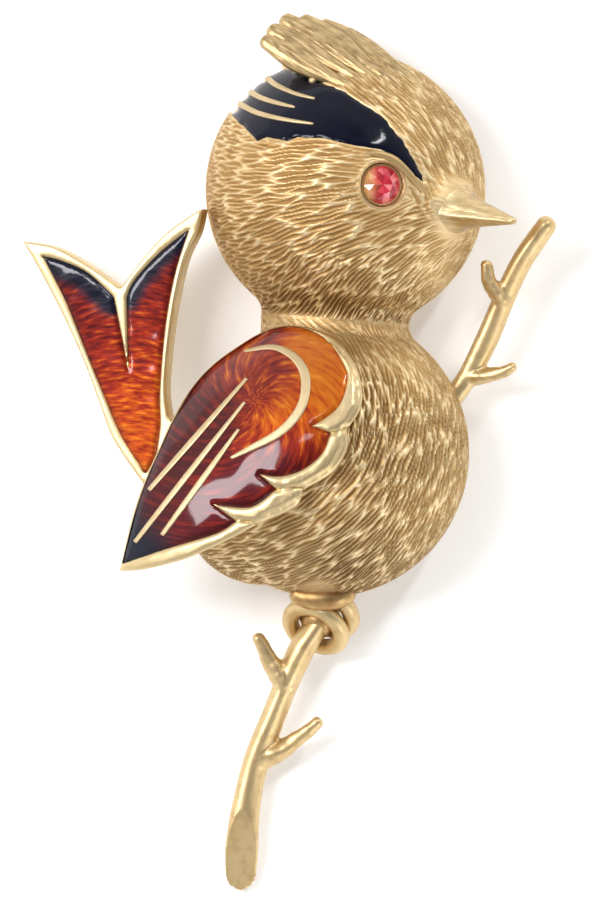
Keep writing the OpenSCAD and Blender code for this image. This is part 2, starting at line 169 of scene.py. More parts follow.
def material_of(name, paint):
    """A material whose shader's sockets are set from what paint() gives for them."""
    material = bpy.data.materials.new(name)
    material.use_nodes = True
    tree = material.node_tree
    shader = tree.nodes["Principled BSDF"]
    for socket, value in paint(Wire(tree)).items():
        if isinstance(value, Wire):
            tree.links.new(value.socket, shader.inputs[socket])
        else:
            shader.inputs[socket].default_value = value
    return material


def rgb(red, green, blue):
    return (red, green, blue, 1.0)


def card_finish(wire):
    cloud = wire.speckle(60)
    return {"Base Color": wire.blend(rgb(0.93, 0.92, 0.9), rgb(0.9, 0.9, 0.89), cloud),
            "Roughness": 0.62 + 0.1 * cloud, "Emission Color": rgb(1, 1, 1),
            "Emission Strength": CARD_GLOW}


card_corners = np.array([[-1, -1, 0], [1, -1, 0], [1, 1, 0], [-1, 1, 0]]) * CARD_HALF
card = mesh_piece("card_floor", card_corners, [[0, 1, 2, 3]], smooth=False)
card.data.materials.append(material_of("white_card", card_finish))


def lamp(name, place, height, width, turn, power, colour=(1, 1, 1)):
    """A soft flat lamp at a place in millimetres, faced to the brooch and turned on its stand."""
    light = bpy.data.lights.new(name, "AREA")
    light.shape = "RECTANGLE"
    light.size = height * MM
    light.size_y = width * MM
    light.energy = power
    light.color = colour
    thing = put_in_scene(name, light)
    thing.location = np.array(place) * MM
    tilt = math.acos(place[2] / np.linalg.norm(place))
    facing = Matrix.Rotation(math.atan2(place[1], place[0]), 3, "Z") @ Matrix.Rotation(tilt, 3, "Y")
    thing.rotation_euler = (facing @ Matrix.Rotation(math.radians(turn), 3, "Z")).to_euler()


# Each lamp: its place, height and width in millimetres, its turn in degrees, watts and colour.
lamp("key_lamp", (-470, 165, 612), 190, 470, -56, 4.7, (0.99, 0.97, 1.0))
lamp("strip_lamp", (320, 500, 500), 190, 60, 0, 1.5)
lamp("low_lamp", (420, -420, 340), 300, 300, 0, 0.8)
lamp("foot_lamp", (0, -520, 700), 260, 260, 0, 0.35)
lamp("small_lamp", (-118, 325, 712), 170, 50, 60, 0.22, (0.96, 0.94, 1.0))
world = bpy.data.worlds.new("studio")
world.use_nodes = True
sky = Wire(world.node_tree)
sky_height = sky.add("SeparateXYZ", {}, {"Vector": sky.add("TexCoord", {}, {}, 0)}, 2)
sky_light = sky.add("ValToRGB", {"stops": [(0.0, (1.0, 0.99, 0.97)), (0.35, (0.95, 0.94, 0.92)),
                                           (0.75, (0.34, 0.34, 0.34)), (1.0, (0.14, 0.14, 0.15))]},
                    {"Fac": sky_height})
world.node_tree.links.new(sky_light.socket, world.node_tree.nodes["Background"].inputs["Color"])
bpy.context.scene.world = world
bpy.context.scene.view_settings.view_transform = "Standard"

camera = put_in_scene("camera", bpy.data.cameras.new("camera"))
frame_middle = place_in_photo(PHOTO_SIZE[0] / 2, PHOTO_SIZE[1] / 2)
camera.location = (frame_middle[0] * MM, frame_middle[1] * MM, CAMERA_RISE * MM)
camera.data.sensor_fit = "VERTICAL"
camera.data.sensor_height = SENSOR
camera.data.lens = SENSOR * (CAMERA_RISE - FACE_HEIGHT) / (PHOTO_SIZE[1] * MM_PER_PIXEL)
camera.data.clip_start = 0.1
bpy.context.scene.camera = camera

# The bird's head and body. One hollow casting, open at the back, cut all over with a
# graver: long narrow cells between sharp ridges follow the lie of the feathers.
BODY_RADIUS = 9.95
HEAD_RADIUS = 9.65
HEAD_RISE = 18.1
LEAN = math.radians(4.5)
CREASE = 1.4
RUMP_RADIUS = 5.6
WALL = 0.8
RIM_HEIGHT = 3.6
DOME_DROP = 1.0
BODY_MIDDLE = np.array([2.54, -0.06, RIM_HEIGHT - DOME_DROP])
UP_THE_NECK = np.array([math.sin(LEAN), math.cos(LEAN), 0])
HEAD_MIDDLE = BODY_MIDDLE + HEAD_RISE * UP_THE_NECK
RUMP_MIDDLE = BODY_MIDDLE + BODY_RADIUS * np.array([-0.433, -0.357, 0])
WING_ROOT = BODY_MIDDLE[:2] + BODY_RADIUS * np.array([-0.172, 0.364])
WING_LENGTH = 22.3
FLANK_INSET = 0.35
EYE_WAY = np.array([0.265, 0.028, 0.964])
BEAK_WAY = np.array([0.748, -0.145, 0.648])
BEAK_MOUND = 1.05
MOUND_REACH = 2.15
SOCKET_RADIUS = 1.59
SOCKET_SUNK = 1.2

# Lie of the feathers, in shares of the radius from the middle:
# [right, up, slope in degrees, length of a cell in millimetres, depth of the cut]
HEAD_COMB = np.array([
    [0.48, -0.20, 20, 2.4, 0.9], [0.03, -0.29, 20, 2.6, 1.0], [0.32, -0.71, 42, 2.2, 1.0],
    [-0.32, -0.08, 8, 2.6, 1.0], [-0.75, 0.00, 0, 2.2, 0.9], [-0.85, 0.24, -12, 1.8, 0.8],
    [-0.93, -0.29, 6, 1.8, 0.9], [-0.60, -0.29, 20, 2.2, 1.1], [-0.82, -0.57, -4, 1.2, 1.0],
    [-0.38, -0.66, 44, 1.6, 1.1], [-0.68, -0.71, 18, 1.1, 1.0], [-0.04, -0.78, 52, 1.8, 1.0],
    [-0.32, 0.21, 4, 2.6, 1.0], [0.17, 0.21, -6, 2.4, 0.8], [0.45, 0.16, -30, 2.0, 0.6],
    [0.46, -0.43, 32, 2.2, 0.9], [0.60, -0.43, 40, 1.8, 0.6], [0.66, -0.57, 50, 1.8, 0.6],
    [0.38, -0.82, 55, 1.8, 0.9], [0.55, 0.17, -63, 2.2, 0.8], [0.66, 0.49, -52, 2.4, 0.8],
    [0.38, 0.70, -42, 2.6, 0.8], [0.13, 0.91, -36, 2.8, 0.8], [0.81, 0.21, -72, 2.2, 0.8],
    [0.24, 0.63, -42, 2.6, 0.9], [0.60, 0.03, -72, 1.8, 0.6], [0.77, -0.01, -84, 1.8, 0.4],
    [-0.11, 0.98, -32, 2.8, 0.8]])
BODY_COMB = np.array([
    [0.31, 0.74, -60, 2.4, 0.5], [0.38, 0.36, -86, 2.6, 1.1], [0.34, 0.16, 80, 2.4, 1.2],
    [0.28, -0.05, 66, 2.4, 1.2], [0.52, -0.01, 68, 2.4, 1.2], [0.79, 0.09, 84, 2.2, 1.0],
    [0.90, 0.36, -80, 2.2, 0.8], [0.65, 0.71, -55, 2.2, 0.5], [0.12, -0.32, 42, 2.4, 1.1],
    [-0.34, -0.58, 24, 2.6, 0.9], [-0.68, -0.75, 0, 2.4, 0.7], [-0.33, -0.78, 16, 2.4, 0.8],
    [0.12, -0.75, 34, 2.2, 0.9], [0.24, -0.74, 42, 2.2, 0.9], [0.65, -0.60, 58, 2.2, 0.9],
    [-0.17, -0.91, 18, 2.2, 0.6], [0.86, -0.19, 80, 2.2, 0.9], [0.79, -0.46, 66, 2.2, 0.9],
    [0.05, 0.86, -35, 2.2, 0.4], [0.20, 0.60, -62, 2.4, 0.8]])
CELL_WIDTH = 0.285
CELL_STRETCH = 1.35
CELLS_TRIED = 9000
LEAST_APART = 0.62
RIDGE_SHARE = 0.26
CUT_DEPTH = 0.17
SKIN_ROWS, SKIN_COLUMNS, WALL_COLUMNS = 290, 300, 25
BATCH = 6000

crease_along = (HEAD_RISE ** 2 + (BODY_RADIUS + CREASE) ** 2
                - (HEAD_RADIUS + CREASE) ** 2) / (2 * HEAD_RISE)
crease_out = math.sqrt((BODY_RADIUS + CREASE) ** 2 - crease_along ** 2)


def ripple(points, size, seed):
    """Soft noise of about one, from a few waves of about one length."""
    chance = np.random.default_rng(seed)
    total = np.zeros(len(points))
    for _ in range(9):
        way = chance.normal(size=points.shape[1])
        way *= 2 * math.pi / (np.linalg.norm(way) * size * chance.uniform(0.7, 1.4))
        total += np.sin(points @ way + chance.uniform(0, 2 * math.pi))
    return total / 3


def unit(ways):
    """Ways of length one, from one way or from rows of them."""
    return ways / np.linalg.norm(ways, axis=-1, keepdims=True)


def left_of(ways):
    """The flat ways at right angles to the left of others."""
    return unit(np.stack([-ways[:, 1], ways[:, 0]], 1))


def run_along(line):
    """How far along a line each of its points lies."""
    return np.concatenate([[0], np.cumsum(np.linalg.norm(np.diff(line, axis=0), axis=1))])


def eased(value, low, high):
    """A soft step from 0 at low to 1 at high."""
    share = np.clip((value - low) / (high - low), 0, 1)
    return share * share * (3 - 2 * share)


def outline_of(middle_along, radius, sign):
    """Half of the outline of head (sign -1) or body (1), outwards from the neck: [out, along]."""
    turns = np.linspace(0, 1, 400)
    start_turn = math.pi - math.asin(1.001 * DOME_DROP / radius)
    touch_turn = math.atan2(crease_out, abs(middle_along - crease_along))
    crease_turn = math.pi + sign * (math.pi / 2 - touch_turn) * turns
    fillet = np.stack([crease_out + CREASE * np.cos(crease_turn),
                       crease_along + CREASE * np.sin(crease_turn)], 1)
    arc_turn = touch_turn + (start_turn - touch_turn) * turns
    arc = np.stack([radius * np.sin(arc_turn), middle_along + sign * radius * np.cos(arc_turn)], 1)
    return np.concatenate([fillet, arc[1:]])


def turned(outline, rows, columns, grow=0.0):
    """Turns half an outline about the bird's leaning axis, over the front from rim to rim."""
    out_way = left_of(np.gradient(outline, axis=0))
    outline = outline + grow * out_way * np.sign(out_way[:, :1] + 1e-9)
    run = run_along(outline)
    places = np.linspace(0, run[-1], rows)
    out = np.maximum(np.interp(places, run, outline[:, 0]), 0.05)
    along = np.interp(places, run, outline[:, 1])
    half = np.arccos(np.clip(DOME_DROP / out, -1, 1))
    turn = half[:, None] * np.linspace(-1, 1, columns)[None]
    right = out[:, None] * np.sin(turn)
    front = np.maximum(out[:, None] * np.cos(turn), DOME_DROP)
    rise = np.repeat(along[:, None], columns, 1)
    return np.stack([BODY_MIDDLE[0] + rise * UP_THE_NECK[0] + right * UP_THE_NECK[1],
                     BODY_MIDDLE[1] + rise * UP_THE_NECK[1] - right * UP_THE_NECK[0],
                     BODY_MIDDLE[2] + front], 2)


def grid_faces(rows, columns, start=0):
    first = (np.arange(rows - 1)[:, None] * columns + np.arange(columns - 1)[None]).ravel() + start
    return np.stack([first, first + columns, first + columns + 1, first + 1], 1)


def grid_normals(grid):
    down = np.gradient(grid, axis=0)
    over = np.gradient(grid, axis=1)
    normal = np.cross(over, down).reshape(-1, 3)
    normal /= np.linalg.norm(normal, axis=1, keepdims=True) + 1e-12
    return normal * np.where(normal[:, 2:] < 0, -1, 1)


def combed(points, normals, comb, middle, radius):
    """How the feathers lie at each point: along them, across them, cell length and depth."""
    place = (points[:, :2] - middle[:2]) / radius
    apart = ((place[:, None] - comb[None, :, :2]) ** 2).sum(2)
    weight = 1 / (apart + 0.004) ** 2
    weight /= weight.sum(1, keepdims=True)
    slope = np.radians(comb[:, 2]) * 2
    turn = np.arctan2(weight @ np.sin(slope), weight @ np.cos(slope)) / 2
    way = np.stack([np.cos(turn), np.sin(turn), np.zeros_like(turn)], 1)
    way[:, 2] = -(way[:, :2] * normals[:, :2]).sum(1) / np.maximum(normals[:, 2], 0.25)
    way = unit(way)
    return way, np.cross(normals, way), CELL_STRETCH * (weight @ comb[:, 3]), weight @ comb[:, 4]


def ridge_net(points, way, across, length, seed, bend):
    """Height from 0 in a cell to 1 on the ridges of a net of long cells along the feathers."""
    chance = np.random.default_rng(seed)
    bends = bend * (ripple(points, 2.2, seed + 1) + 0.3 * ripple(points, 0.8, seed + 2))
    bent = points + across * bends[:, None]
    centres = []
    for index in chance.permutation(len(points))[:CELLS_TRIED]:
        if centres:
            apart = bent[centres] - bent[index]
            far = (((apart * way[index]).sum(1) / length[index]) ** 2
                   + ((apart * across[index]).sum(1) / CELL_WIDTH) ** 2)
            if far.min() < LEAST_APART:
                continue
        centres.append(index)
    seeds, ways, acrosses, lengths = bent[centres], way[centres], across[centres], length[centres]
    along_seed = (seeds * ways).sum(1)
    across_seed = (seeds * acrosses).sum(1)
    net = np.empty(len(points))
    for start in range(0, len(points), BATCH):
        some = bent[start:start + BATCH]
        far = (((some @ ways.T - along_seed) / lengths) ** 2
               + ((some @ acrosses.T - across_seed) / CELL_WIDTH) ** 2)
        near = (some ** 2).sum(1)[:, None] - 2 * some @ seeds.T + (seeds ** 2).sum(1)
        far = np.where(near < 16, far, 99)
        nearest = np.sqrt(np.partition(far, 1, axis=1)[:, :2])
        net[start:start + BATCH] = nearest[:, 1] - nearest[:, 0]
    return np.exp(-(net / RIDGE_SHARE) ** 2)


def comb_map(points, way, across):
    """Two smooth measures over the skin, in millimetres: along the feathers and across them."""
    powers = [(a, b, c) for a in range(6) for b in range(6 - a) for c in range(6 - a - b)
              if a + b + c]
    middle, reach = points.mean(0), np.abs(points - points.mean(0)).max()
    some = np.random.default_rng(5).permutation(len(points))[:5000]
    unit = (points - middle) / reach
    columns, slopes = [], []
    for a, b, c in powers:
        columns.append(unit[:, 0] ** a * unit[:, 1] ** b * unit[:, 2] ** c)
        x, y, z = unit[some].T
        slopes.append(np.stack([a * x ** max(a - 1, 0) * y ** b * z ** c,
                                b * x ** a * y ** max(b - 1, 0) * z ** c,
                                c * x ** a * y ** b * z ** max(c - 1, 0)], 1) / reach)
    slopes = np.stack(slopes, 2)
    on_way = np.einsum("nd,ndk->nk", way[some], slopes)
    on_across = np.einsum("nd,ndk->nk", across[some], slopes)
    both = np.concatenate([on_way, on_across])
    one, none = np.ones(len(some)), np.zeros(len(some))
    basis = np.stack(columns, 1)
    run = basis @ np.linalg.lstsq(both, np.concatenate([one, none]), rcond=1e-6)[0]
    over = basis @ np.linalg.lstsq(both, np.concatenate([none, one]), rcond=1e-6)[0]
    return np.stack([run, over, 0 * run], 1)


def pull_to_flank(points, grow):
    """Keeps the body's side inside the wing's outer edge, where the wing is set on it."""
    edge = WING_ROOT + WING_LENGTH * np.array([
        [-0.512, -0.353], [-0.472, -0.239], [-0.429, -0.141], [-0.387, -0.052], [-0.337, 0.031],
        [-0.276, 0.101], [-0.199, 0.160], [-0.101, 0.215], [-0.086, 0.240], [-0.135, 0.270]])
    inner = edge - (FLANK_INSET - grow) * left_of(np.gradient(edge, axis=0))
    start, step = inner[:-1], np.diff(inner, axis=0)
    offset = points[:, None, :2] - start[None]
    share = np.clip((offset * step).sum(2) / (step ** 2).sum(1), 0, 1)
    reach = start[None] + share[:, :, None] * step[None]
    nearest = np.linalg.norm(points[:, None, :2] - reach, axis=2).argmin(1)
    rows = np.arange(len(points))
    target = reach[rows, nearest]
    outside = step[nearest, 0] * offset[rows, nearest, 1] - step[nearest, 1] * offset[rows, nearest, 0] > 0
    past_end = (((nearest == 0) & (share[rows, 0] <= 0))
                | ((nearest == len(step) - 1) & (share[rows, -1] >= 1)))
    along = (points - BODY_MIDDLE) @ UP_THE_NECK
    share = (outside & ~past_end) * eased(crease_along - 0.1 - along, 0, 1.3)
    moved = points.copy()
    moved[:, :2] += share[:, None] * (target - points[:, :2])
    return moved


def over_rump(points, grow):
    """Pushes the body's lower left out to the rounded rump."""
    way = points - BODY_MIDDLE
    reach = np.linalg.norm(way, axis=1)
    way = way / reach[:, None]
    rump = RUMP_MIDDLE - BODY_MIDDLE
    middle = way @ rump
    inside = middle ** 2 - rump @ rump + (RUMP_RADIUS + grow) ** 2
    far = middle + np.sqrt(np.maximum(inside, 0))
    lift = np.where((inside > 0) & (points[:, 2] > RIM_HEIGHT - 0.2), np.maximum(far - reach, 0), 0)
    return points + way * lift[:, None]


def outline_distance(points, loop):
    """How far flat points lie inside a closed outline, or outside it as a negative number."""
    start, end = loop, np.roll(loop, -1, axis=0)
    step = end - start
    result = np.empty(len(points))
    for first in range(0, len(points), BATCH):
        some = points[first:first + BATCH]
        offset = some[:, None] - start[None]
        share = np.clip((offset * step).sum(2) / (step ** 2).sum(1), 0, 1)
        far = np.sqrt(((offset - share[:, :, None] * step) ** 2).sum(2)).min(1)
        low, high = start[:, 1], end[:, 1]
        crosses = (low > some[:, 1:]) != (high > some[:, 1:])
        rise = np.where(high == low, 1, high - low)
        meets = some[:, :1] < start[:, 0] + (some[:, 1:] - low) / rise * step[:, 0]
        inside = (crosses & meets).sum(1) % 2 == 1
        result[first:first + BATCH] = np.where(inside, far, -far)
    return result


def distance_off(points, middle, way):
    """How far points lie off the line from a middle along a way."""
    offset = points - middle
    return np.linalg.norm(offset - (offset @ way)[:, None] * way, axis=1)


HEAD_STRIPE = HEAD_MIDDLE[:2] + HEAD_RADIUS * np.array([
    [-0.55, 0.94], [-0.68, 0.88], [-0.80, 0.78], [-0.89, 0.64], [-0.85, 0.57], [-0.77, 0.47],
    [-0.71, 0.42], [-0.63, 0.33], [-0.56, 0.36], [-0.41, 0.33], [-0.34, 0.36], [-0.15, 0.35],
    [0.05, 0.30], [0.25, 0.27], [0.38, 0.20], [0.46, 0.11], [0.58, 0.01], [0.54, 0.12],
    [0.42, 0.34], [0.27, 0.52], [0.09, 0.64], [-0.02, 0.71], [-0.22, 0.79], [-0.38, 0.86]])
STRIPE_SUNK = 0.3


def mark(piece, name, values):
    """Writes numbers or places on a piece's corners, for its material to read."""
    kind, field = ("FLOAT", "value") if values.ndim == 1 else ("FLOAT_VECTOR", "vector")
    layer = piece.data.attributes.new(name, kind, "POINT")
    layer.data.foreach_set(field, values.astype(np.float32).ravel())


def skin_piece(name, outline, comb, middle, radius, seed, bend, shape, plain):
    """Head or body: an engraved skin, the smooth wall inside it and the flat rim between them."""
    rows, columns, inner_columns = SKIN_ROWS, SKIN_COLUMNS, WALL_COLUMNS
    base = shape(turned(outline, rows, columns).reshape(-1, 3), 0.0)
    normals = grid_normals(base.reshape(rows, columns, 3))
    way, across, length, depth = combed(base, normals, comb, middle, radius)
    net = ridge_net(base, way, across, length, seed, bend)
    cover, lift, painted_shade_share = plain(base)
    cover = cover * eased(base[:, 2], RIM_HEIGHT, RIM_HEIGHT + 0.5)
    grain = 0.25 * ripple(base, 0.5, seed + 5) * (1 - net)
    height = lift + CUT_DEPTH * depth * cover * (net - 0.6 + 0.25 * grain)
    outer = base + normals * height[:, None]
    inner = shape(turned(outline, rows, inner_columns, -WALL).reshape(-1, 3), -WALL)
    start = rows * columns
    faces = np.concatenate([grid_faces(rows, columns), grid_faces(rows, inner_columns, start)[:, ::-1]])
    row = np.arange(rows - 1)
    for outer_column, inner_column, flip in ((0, 0, 1), (columns - 1, inner_columns - 1, -1)):
        strip = np.stack([row * columns + outer_column, start + row * inner_columns + inner_column,
                          start + (row + 1) * inner_columns + inner_column,
                          (row + 1) * columns + outer_column], 1)
        faces = np.concatenate([faces, strip[:, ::flip]])
    piece = mesh_piece(name, np.concatenate([outer, inner]), faces)
    # The relief also sets painted light: a painted highlight on the ridges, painted shade in the cuts.
    relief = 0.8 + cover * (net - 0.8) * np.clip(depth, 0, 1)
    mark(piece, "relief", np.concatenate([relief, np.full(len(inner), 0.8)]))
    # Painted shade in the cuts, where plain() asks for it.
    mark(piece, "tarnish", np.concatenate([painted_shade_share * (1 - relief), np.zeros(len(inner))]))
    mark(piece, "lie", np.concatenate([comb_map(base, way, across), np.zeros((len(inner), 3))]))
    return piece


def body_shape(points, grow):
    return pull_to_flank(over_rump(points, grow), grow)


def head_plain(points):
    """Where the head is left smooth, where it is raised or sunk, and where painted shade darkens its cuts
    near the neck.
    """
    eye_off = distance_off(points, HEAD_MIDDLE, EYE_WAY)
    beak_off = distance_off(points, HEAD_MIDDLE, BEAK_WAY)
    in_stripe = outline_distance(points[:, :2], HEAD_STRIPE)
    along = (points - BODY_MIDDLE) @ UP_THE_NECK
    cover = eased(eye_off, SOCKET_RADIUS + 0.1, SOCKET_RADIUS + 0.4) * eased(beak_off, 1.7, 2.5)
    cover *= eased(-in_stripe, -0.05, 0.15) * eased(along - crease_along, -0.2, 0.35)
    lift = BEAK_MOUND * np.exp(-(beak_off / MOUND_REACH) ** 3.2)
    lift = lift - STRIPE_SUNK * eased(in_stripe, 0.05, 0.2)
    lift = lift - SOCKET_SUNK * eased(-eye_off, -SOCKET_RADIUS, -SOCKET_RADIUS + 0.15)
    # The last value is painted shade, darker towards the crease at the neck.
    return cover, lift, 0.7 * eased(crease_along + 2.5 - along, 0, 2.5)


def body_plain(points):
    """Where the body is left smooth, and where painted shade darkens its cuts: low down and in the crease
    by the wing.
    """
    along = (points - BODY_MIDDLE) @ UP_THE_NECK
    cover = eased(crease_along - along, -0.2, 0.35)
    cover *= (np.linalg.norm(points - pull_to_flank(points, -0.25), axis=1) < 0.01)
    leg_off = np.hypot(points[:, 0] - 2.1, np.maximum(points[:, 1] + 9.6, 0))
    cover *= eased(leg_off + np.maximum(points[:, 1] + 9.2, 0), 0.9, 1.6)
    offset = (points[:, :2] - BODY_MIDDLE[:2]) / BODY_RADIUS
    # Painted shade in the crease beside the wing.
    crease_shade = np.exp(-((offset[:, 0] - 0.22) / 0.26) ** 2 - ((offset[:, 1] - 0.25) / 0.42) ** 2)
    return cover, 0 * along, np.maximum(eased(-offset[:, 1], 0.2, 0.9), crease_shade)


def engraved_finish(wire):
    """A painted highlight on the ridges and brown in the cuts, partly patina and partly painted shade,
    with darker, redder clouds at random and painted shade where it is marked.
    """
    relief = wire.marked("relief")
    streaks = wire.strokes(wire.marked("lie", 1), (0.7, 7.0, 1.0), 2.0)
    cloud = wire.speckle(7, 3)
    grit = wire.speckle(0.12, 2)
    tarnish = wire.marked("tarnish")
    # The ridges' pale gold is a painted highlight; the brown of the cuts is partly painted shade.
    gold = wire.ramp(relief * 0.75 + streaks * 0.6 - 0.12,
                     [(0.0, (0.19, 0.096, 0.030)), (0.3, (0.44, 0.270, 0.105)),
                      (0.62, (0.64, 0.445, 0.205)), (1.0, (0.93, 0.79, 0.52))])
    gold = wire.blend(gold, rgb(0.40, 0.24, 0.09), ((cloud - 0.42) * 2.4).clamped() * 0.7)
    # Painted shade: the cuts darken low on the body, beside the wing and near the neck.
    gold = wire.blend(gold, rgb(0.13, 0.065, 0.022), (tarnish * (0.4 + cloud)).clamped() * 0.85)
    return {"Base Color": gold, "Metallic": 1.0, "Roughness": 0.60 - 0.14 * relief + 0.1 * grit,
            "Normal": wire.bump(streaks * 0.8 + grit * 0.2, 0.03)}


engraved_gold = material_of("engraved_gold", engraved_finish)
head = skin_piece("head_skin", outline_of(HEAD_RISE, HEAD_RADIUS, -1), HEAD_COMB, HEAD_MIDDLE,
                  HEAD_RADIUS, seed=11, bend=0.05, shape=lambda points, grow: points,
                  plain=head_plain)
body = skin_piece("body_skin", outline_of(0, BODY_RADIUS, 1), BODY_COMB, BODY_MIDDLE,
                  BODY_RADIUS, seed=23, bend=0.04, shape=body_shape, plain=body_plain)
for piece in (head, body):
    piece.data.materials.append(engraved_gold)
    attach(piece, "root")
    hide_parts("bird_shell")

# The crest. Six chiselled locks on the crown, cast with the head, that run up out of the
# engraved feathers and end in blunt round tips over the left of the head.
# Each lock: [right, up, out] in shares of the head's radius, and its radius in millimetres.
LOCKS = [
    [[0.16, 0.66, 0.70, 0.10], [-0.10, 0.78, 0.61, 0.50], [-0.36, 0.92, 0.52, 0.78],
     [-0.56, 1.045, 0.45, 0.52]],
    [[0.18, 0.74, 0.62, 0.10], [-0.10, 0.88, 0.50, 0.56], [-0.34, 1.02, 0.41, 0.76],
     [-0.51, 1.120, 0.35, 0.56]],
    [[0.26, 0.75, 0.58, 0.10], [0.00, 0.91, 0.46, 0.58], [-0.24, 1.08, 0.33, 0.78],
     [-0.42, 1.190, 0.25, 0.58]],
    [[0.38, 0.72, 0.56, 0.10], [0.14, 0.88, 0.43, 0.56], [-0.10, 1.07, 0.27, 0.74],
     [-0.29, 1.190, 0.18, 0.54]],
    [[0.48, 0.70, 0.50, 0.10], [0.24, 0.91, 0.32, 0.50], [0.02, 1.07, 0.19, 0.64],
     [-0.15, 1.165, 0.12, 0.48]],
    [[0.62, 0.64, 0.42, 0.10], [0.42, 0.80, 0.36, 0.44], [0.19, 0.98, 0.18, 0.58],
     [0.02, 1.105, 0.08, 0.48]]]
# The thick root that the locks rise from.
CROWN = [[0.34, 0.66, 0.42, 0.50], [0.06, 0.82, 0.34, 1.60], [-0.15, 0.96, 0.26, 1.95],
         [-0.34, 1.06, 0.26, 1.15]]
CREST_WAY = (-0.80, 0.58, -0.15)


def curve_through(rows, step):
    """Points about a step apart on a smooth line through some rows, with their other columns."""
    rows = np.asarray(rows, float)
    padded = np.concatenate([[2 * rows[0] - rows[1]], rows, [2 * rows[-1] - rows[-2]]])
    result = []
    for before, start, end, after in zip(padded, padded[1:], padded[2:], padded[3:]):
        count = max(int(np.linalg.norm((end - start)[:3]) / step), 1)
        share = np.arange(count)[:, None] / count
        result.append(0.5 * (2 * start + (end - before) * share
                             + (2 * before - 5 * start + 4 * end - after) * share ** 2
                             + (3 * start - before - 3 * end + after) * share ** 3))
    return np.concatenate(result + [rows[-1:]])


def ring_solid(rings):
    """A closed solid through a stack of rings, flat at both ends."""
    rows, around = rings.shape[:2]
    first = (np.arange(rows - 1)[:, None] * around + np.arange(around)).ravel()
    beside = (np.arange(rows - 1)[:, None] * around + (np.arange(around) + 1) % around).ravel()
    faces = np.stack([first, beside, beside + around, first + around], 1).tolist()
    faces += [list(range(around))[::-1], list(range((rows - 1) * around, rows * around))]
    return rings.reshape(-1, 3), faces


def tube(path, radius, around, flat=1.0, front=(0, 0, 1), shape=None):
    """A closed tube along a path, round at both ends, and flatter toward its front if asked."""
    way = unit(np.gradient(path, axis=0))
    side = unit(np.cross(way, np.array(front, float)))
    rise = np.cross(side, way)
    run = run_along(path)
    for end_run, end_radius in ((run, radius[0]), (run[-1] - run, radius[-1])):
        share = np.clip(end_run / max(end_radius, 0.01), 0, 1)
        radius = radius * np.sqrt(np.maximum(1 - (1 - share) ** 2, 1e-4))
    turn = np.arange(around) * 2 * math.pi / around
    reach = np.repeat(radius[:, None], around, 1)
    if shape is not None:
        reach = reach * shape(turn[None], (run / run[-1])[:, None])
    return ring_solid(path[:, None] + (reach * np.cos(turn))[:, :, None] * side[:, None]
                      + (flat * reach * np.sin(turn))[:, :, None] * rise[:, None])


def joined(parts):
    """Several (corners, faces) as one."""
    corners, faces, start = [], [], 0
    for some, over in parts:
        corners.append(some)
        faces += [[index + start for index in face] for face in over]
        start += len(some)
    return np.concatenate(corners), faces


def on_head(rows):
    """Rows in shares of the head's radius, in millimetres, with their last column as it is."""
    rows = np.asarray(rows, float)
    return np.concatenate([HEAD_MIDDLE + HEAD_RADIUS * rows[:, :3], rows[:, 3:]], 1)


def chiselled(turn, run):
    """A lock's cut: a ridge down its middle and two shallow hollows beside it."""
    ridge = 0.08 * np.cos(3 * turn - 0.6) * eased(run, 0.1, 0.5)
    return 1 + ridge + 0.06 * np.cos(9 * turn + 5 * run)


def tucked(parts):
    """Keeps the roots of the locks inside the thickness of the head's wall."""
    corners, faces = parts
    offset = corners - HEAD_MIDDLE
    reach = np.linalg.norm(offset, axis=1, keepdims=True)
    return HEAD_MIDDLE + offset * np.maximum(1, (HEAD_RADIUS - 0.5 * WALL) / reach), faces


def read_corners(piece, field="co"):
    """The places of a piece's corners in metres, or their normals."""
    flat = np.empty(3 * len(piece.data.vertices), np.float32)
    piece.data.vertices.foreach_get(field, flat)
    return flat.reshape(-1, 3)


def give_cut_and_light(piece, way, share=1.0):
    """Marks places for file strokes along a way, and how far each spot faces the front, for a painted
    highlight there and painted shade on the sides.
    """
    corners = read_corners(piece) / MM
    along = unit(np.array(way))
    side = unit(np.cross(along, [0, 0, 1]))
    mark(piece, "lie", np.stack([corners @ along, corners @ side, corners[:, 2] * 0.7], 1))
    mark(piece, "relief", share * eased(read_corners(piece, "normal")[:, 2], 0.1, 0.9))


def filed_and_lit_finish(wire):
    """Filed gold with painted light: a painted highlight on what faces the front, painted shade on the
    sides and between the locks.
    """
    strokes = wire.strokes(wire.marked("lie", 1), (0.5, 4.5, 4.5), 3.0)
    gold = wire.ramp(wire.marked("relief") * 0.40 + strokes * 0.8 - 0.03,
                     [(0.1, (0.20, 0.115, 0.045)), (0.45, (0.58, 0.43, 0.22)),
                      (0.72, (0.72, 0.58, 0.33)), (1.0, (0.92, 0.80, 0.54))])
    return {"Base Color": gold, "Metallic": 1.0, "Roughness": 0.34 + 0.16 * strokes,
            "Normal": wire.bump(strokes, 0.05)}


def tube_along(rows, step=0.12, around=20, **more):
    """A tube through rows of [right, up, out, radius], carried past both ends to round them."""
    line = curve_through(rows, step)
    for end, beside in ((0, 1), (-1, -2)):
        way = unit(line[end, :3] - line[beside, :3])
        past = np.append(line[end, :3] + 0.9 * line[end, 3] * way, line[end, 3])
        extra = line[end] + (past - line[end]) * np.linspace(0, 1, 7)[1:, None]
        line = np.concatenate([extra[::-1], line] if end == 0 else [line, extra])
    return tube(line[:, :3], np.maximum(line[:, 3], 0.02), around, **more)


locks = [tube_along(on_head(rows), around=28, flat=0.9, shape=chiselled) for rows in LOCKS]
locks.append(tube_along(on_head(CROWN), around=36, flat=0.62))
crest = mesh_piece("crest_locks", *tucked(joined(locks)))
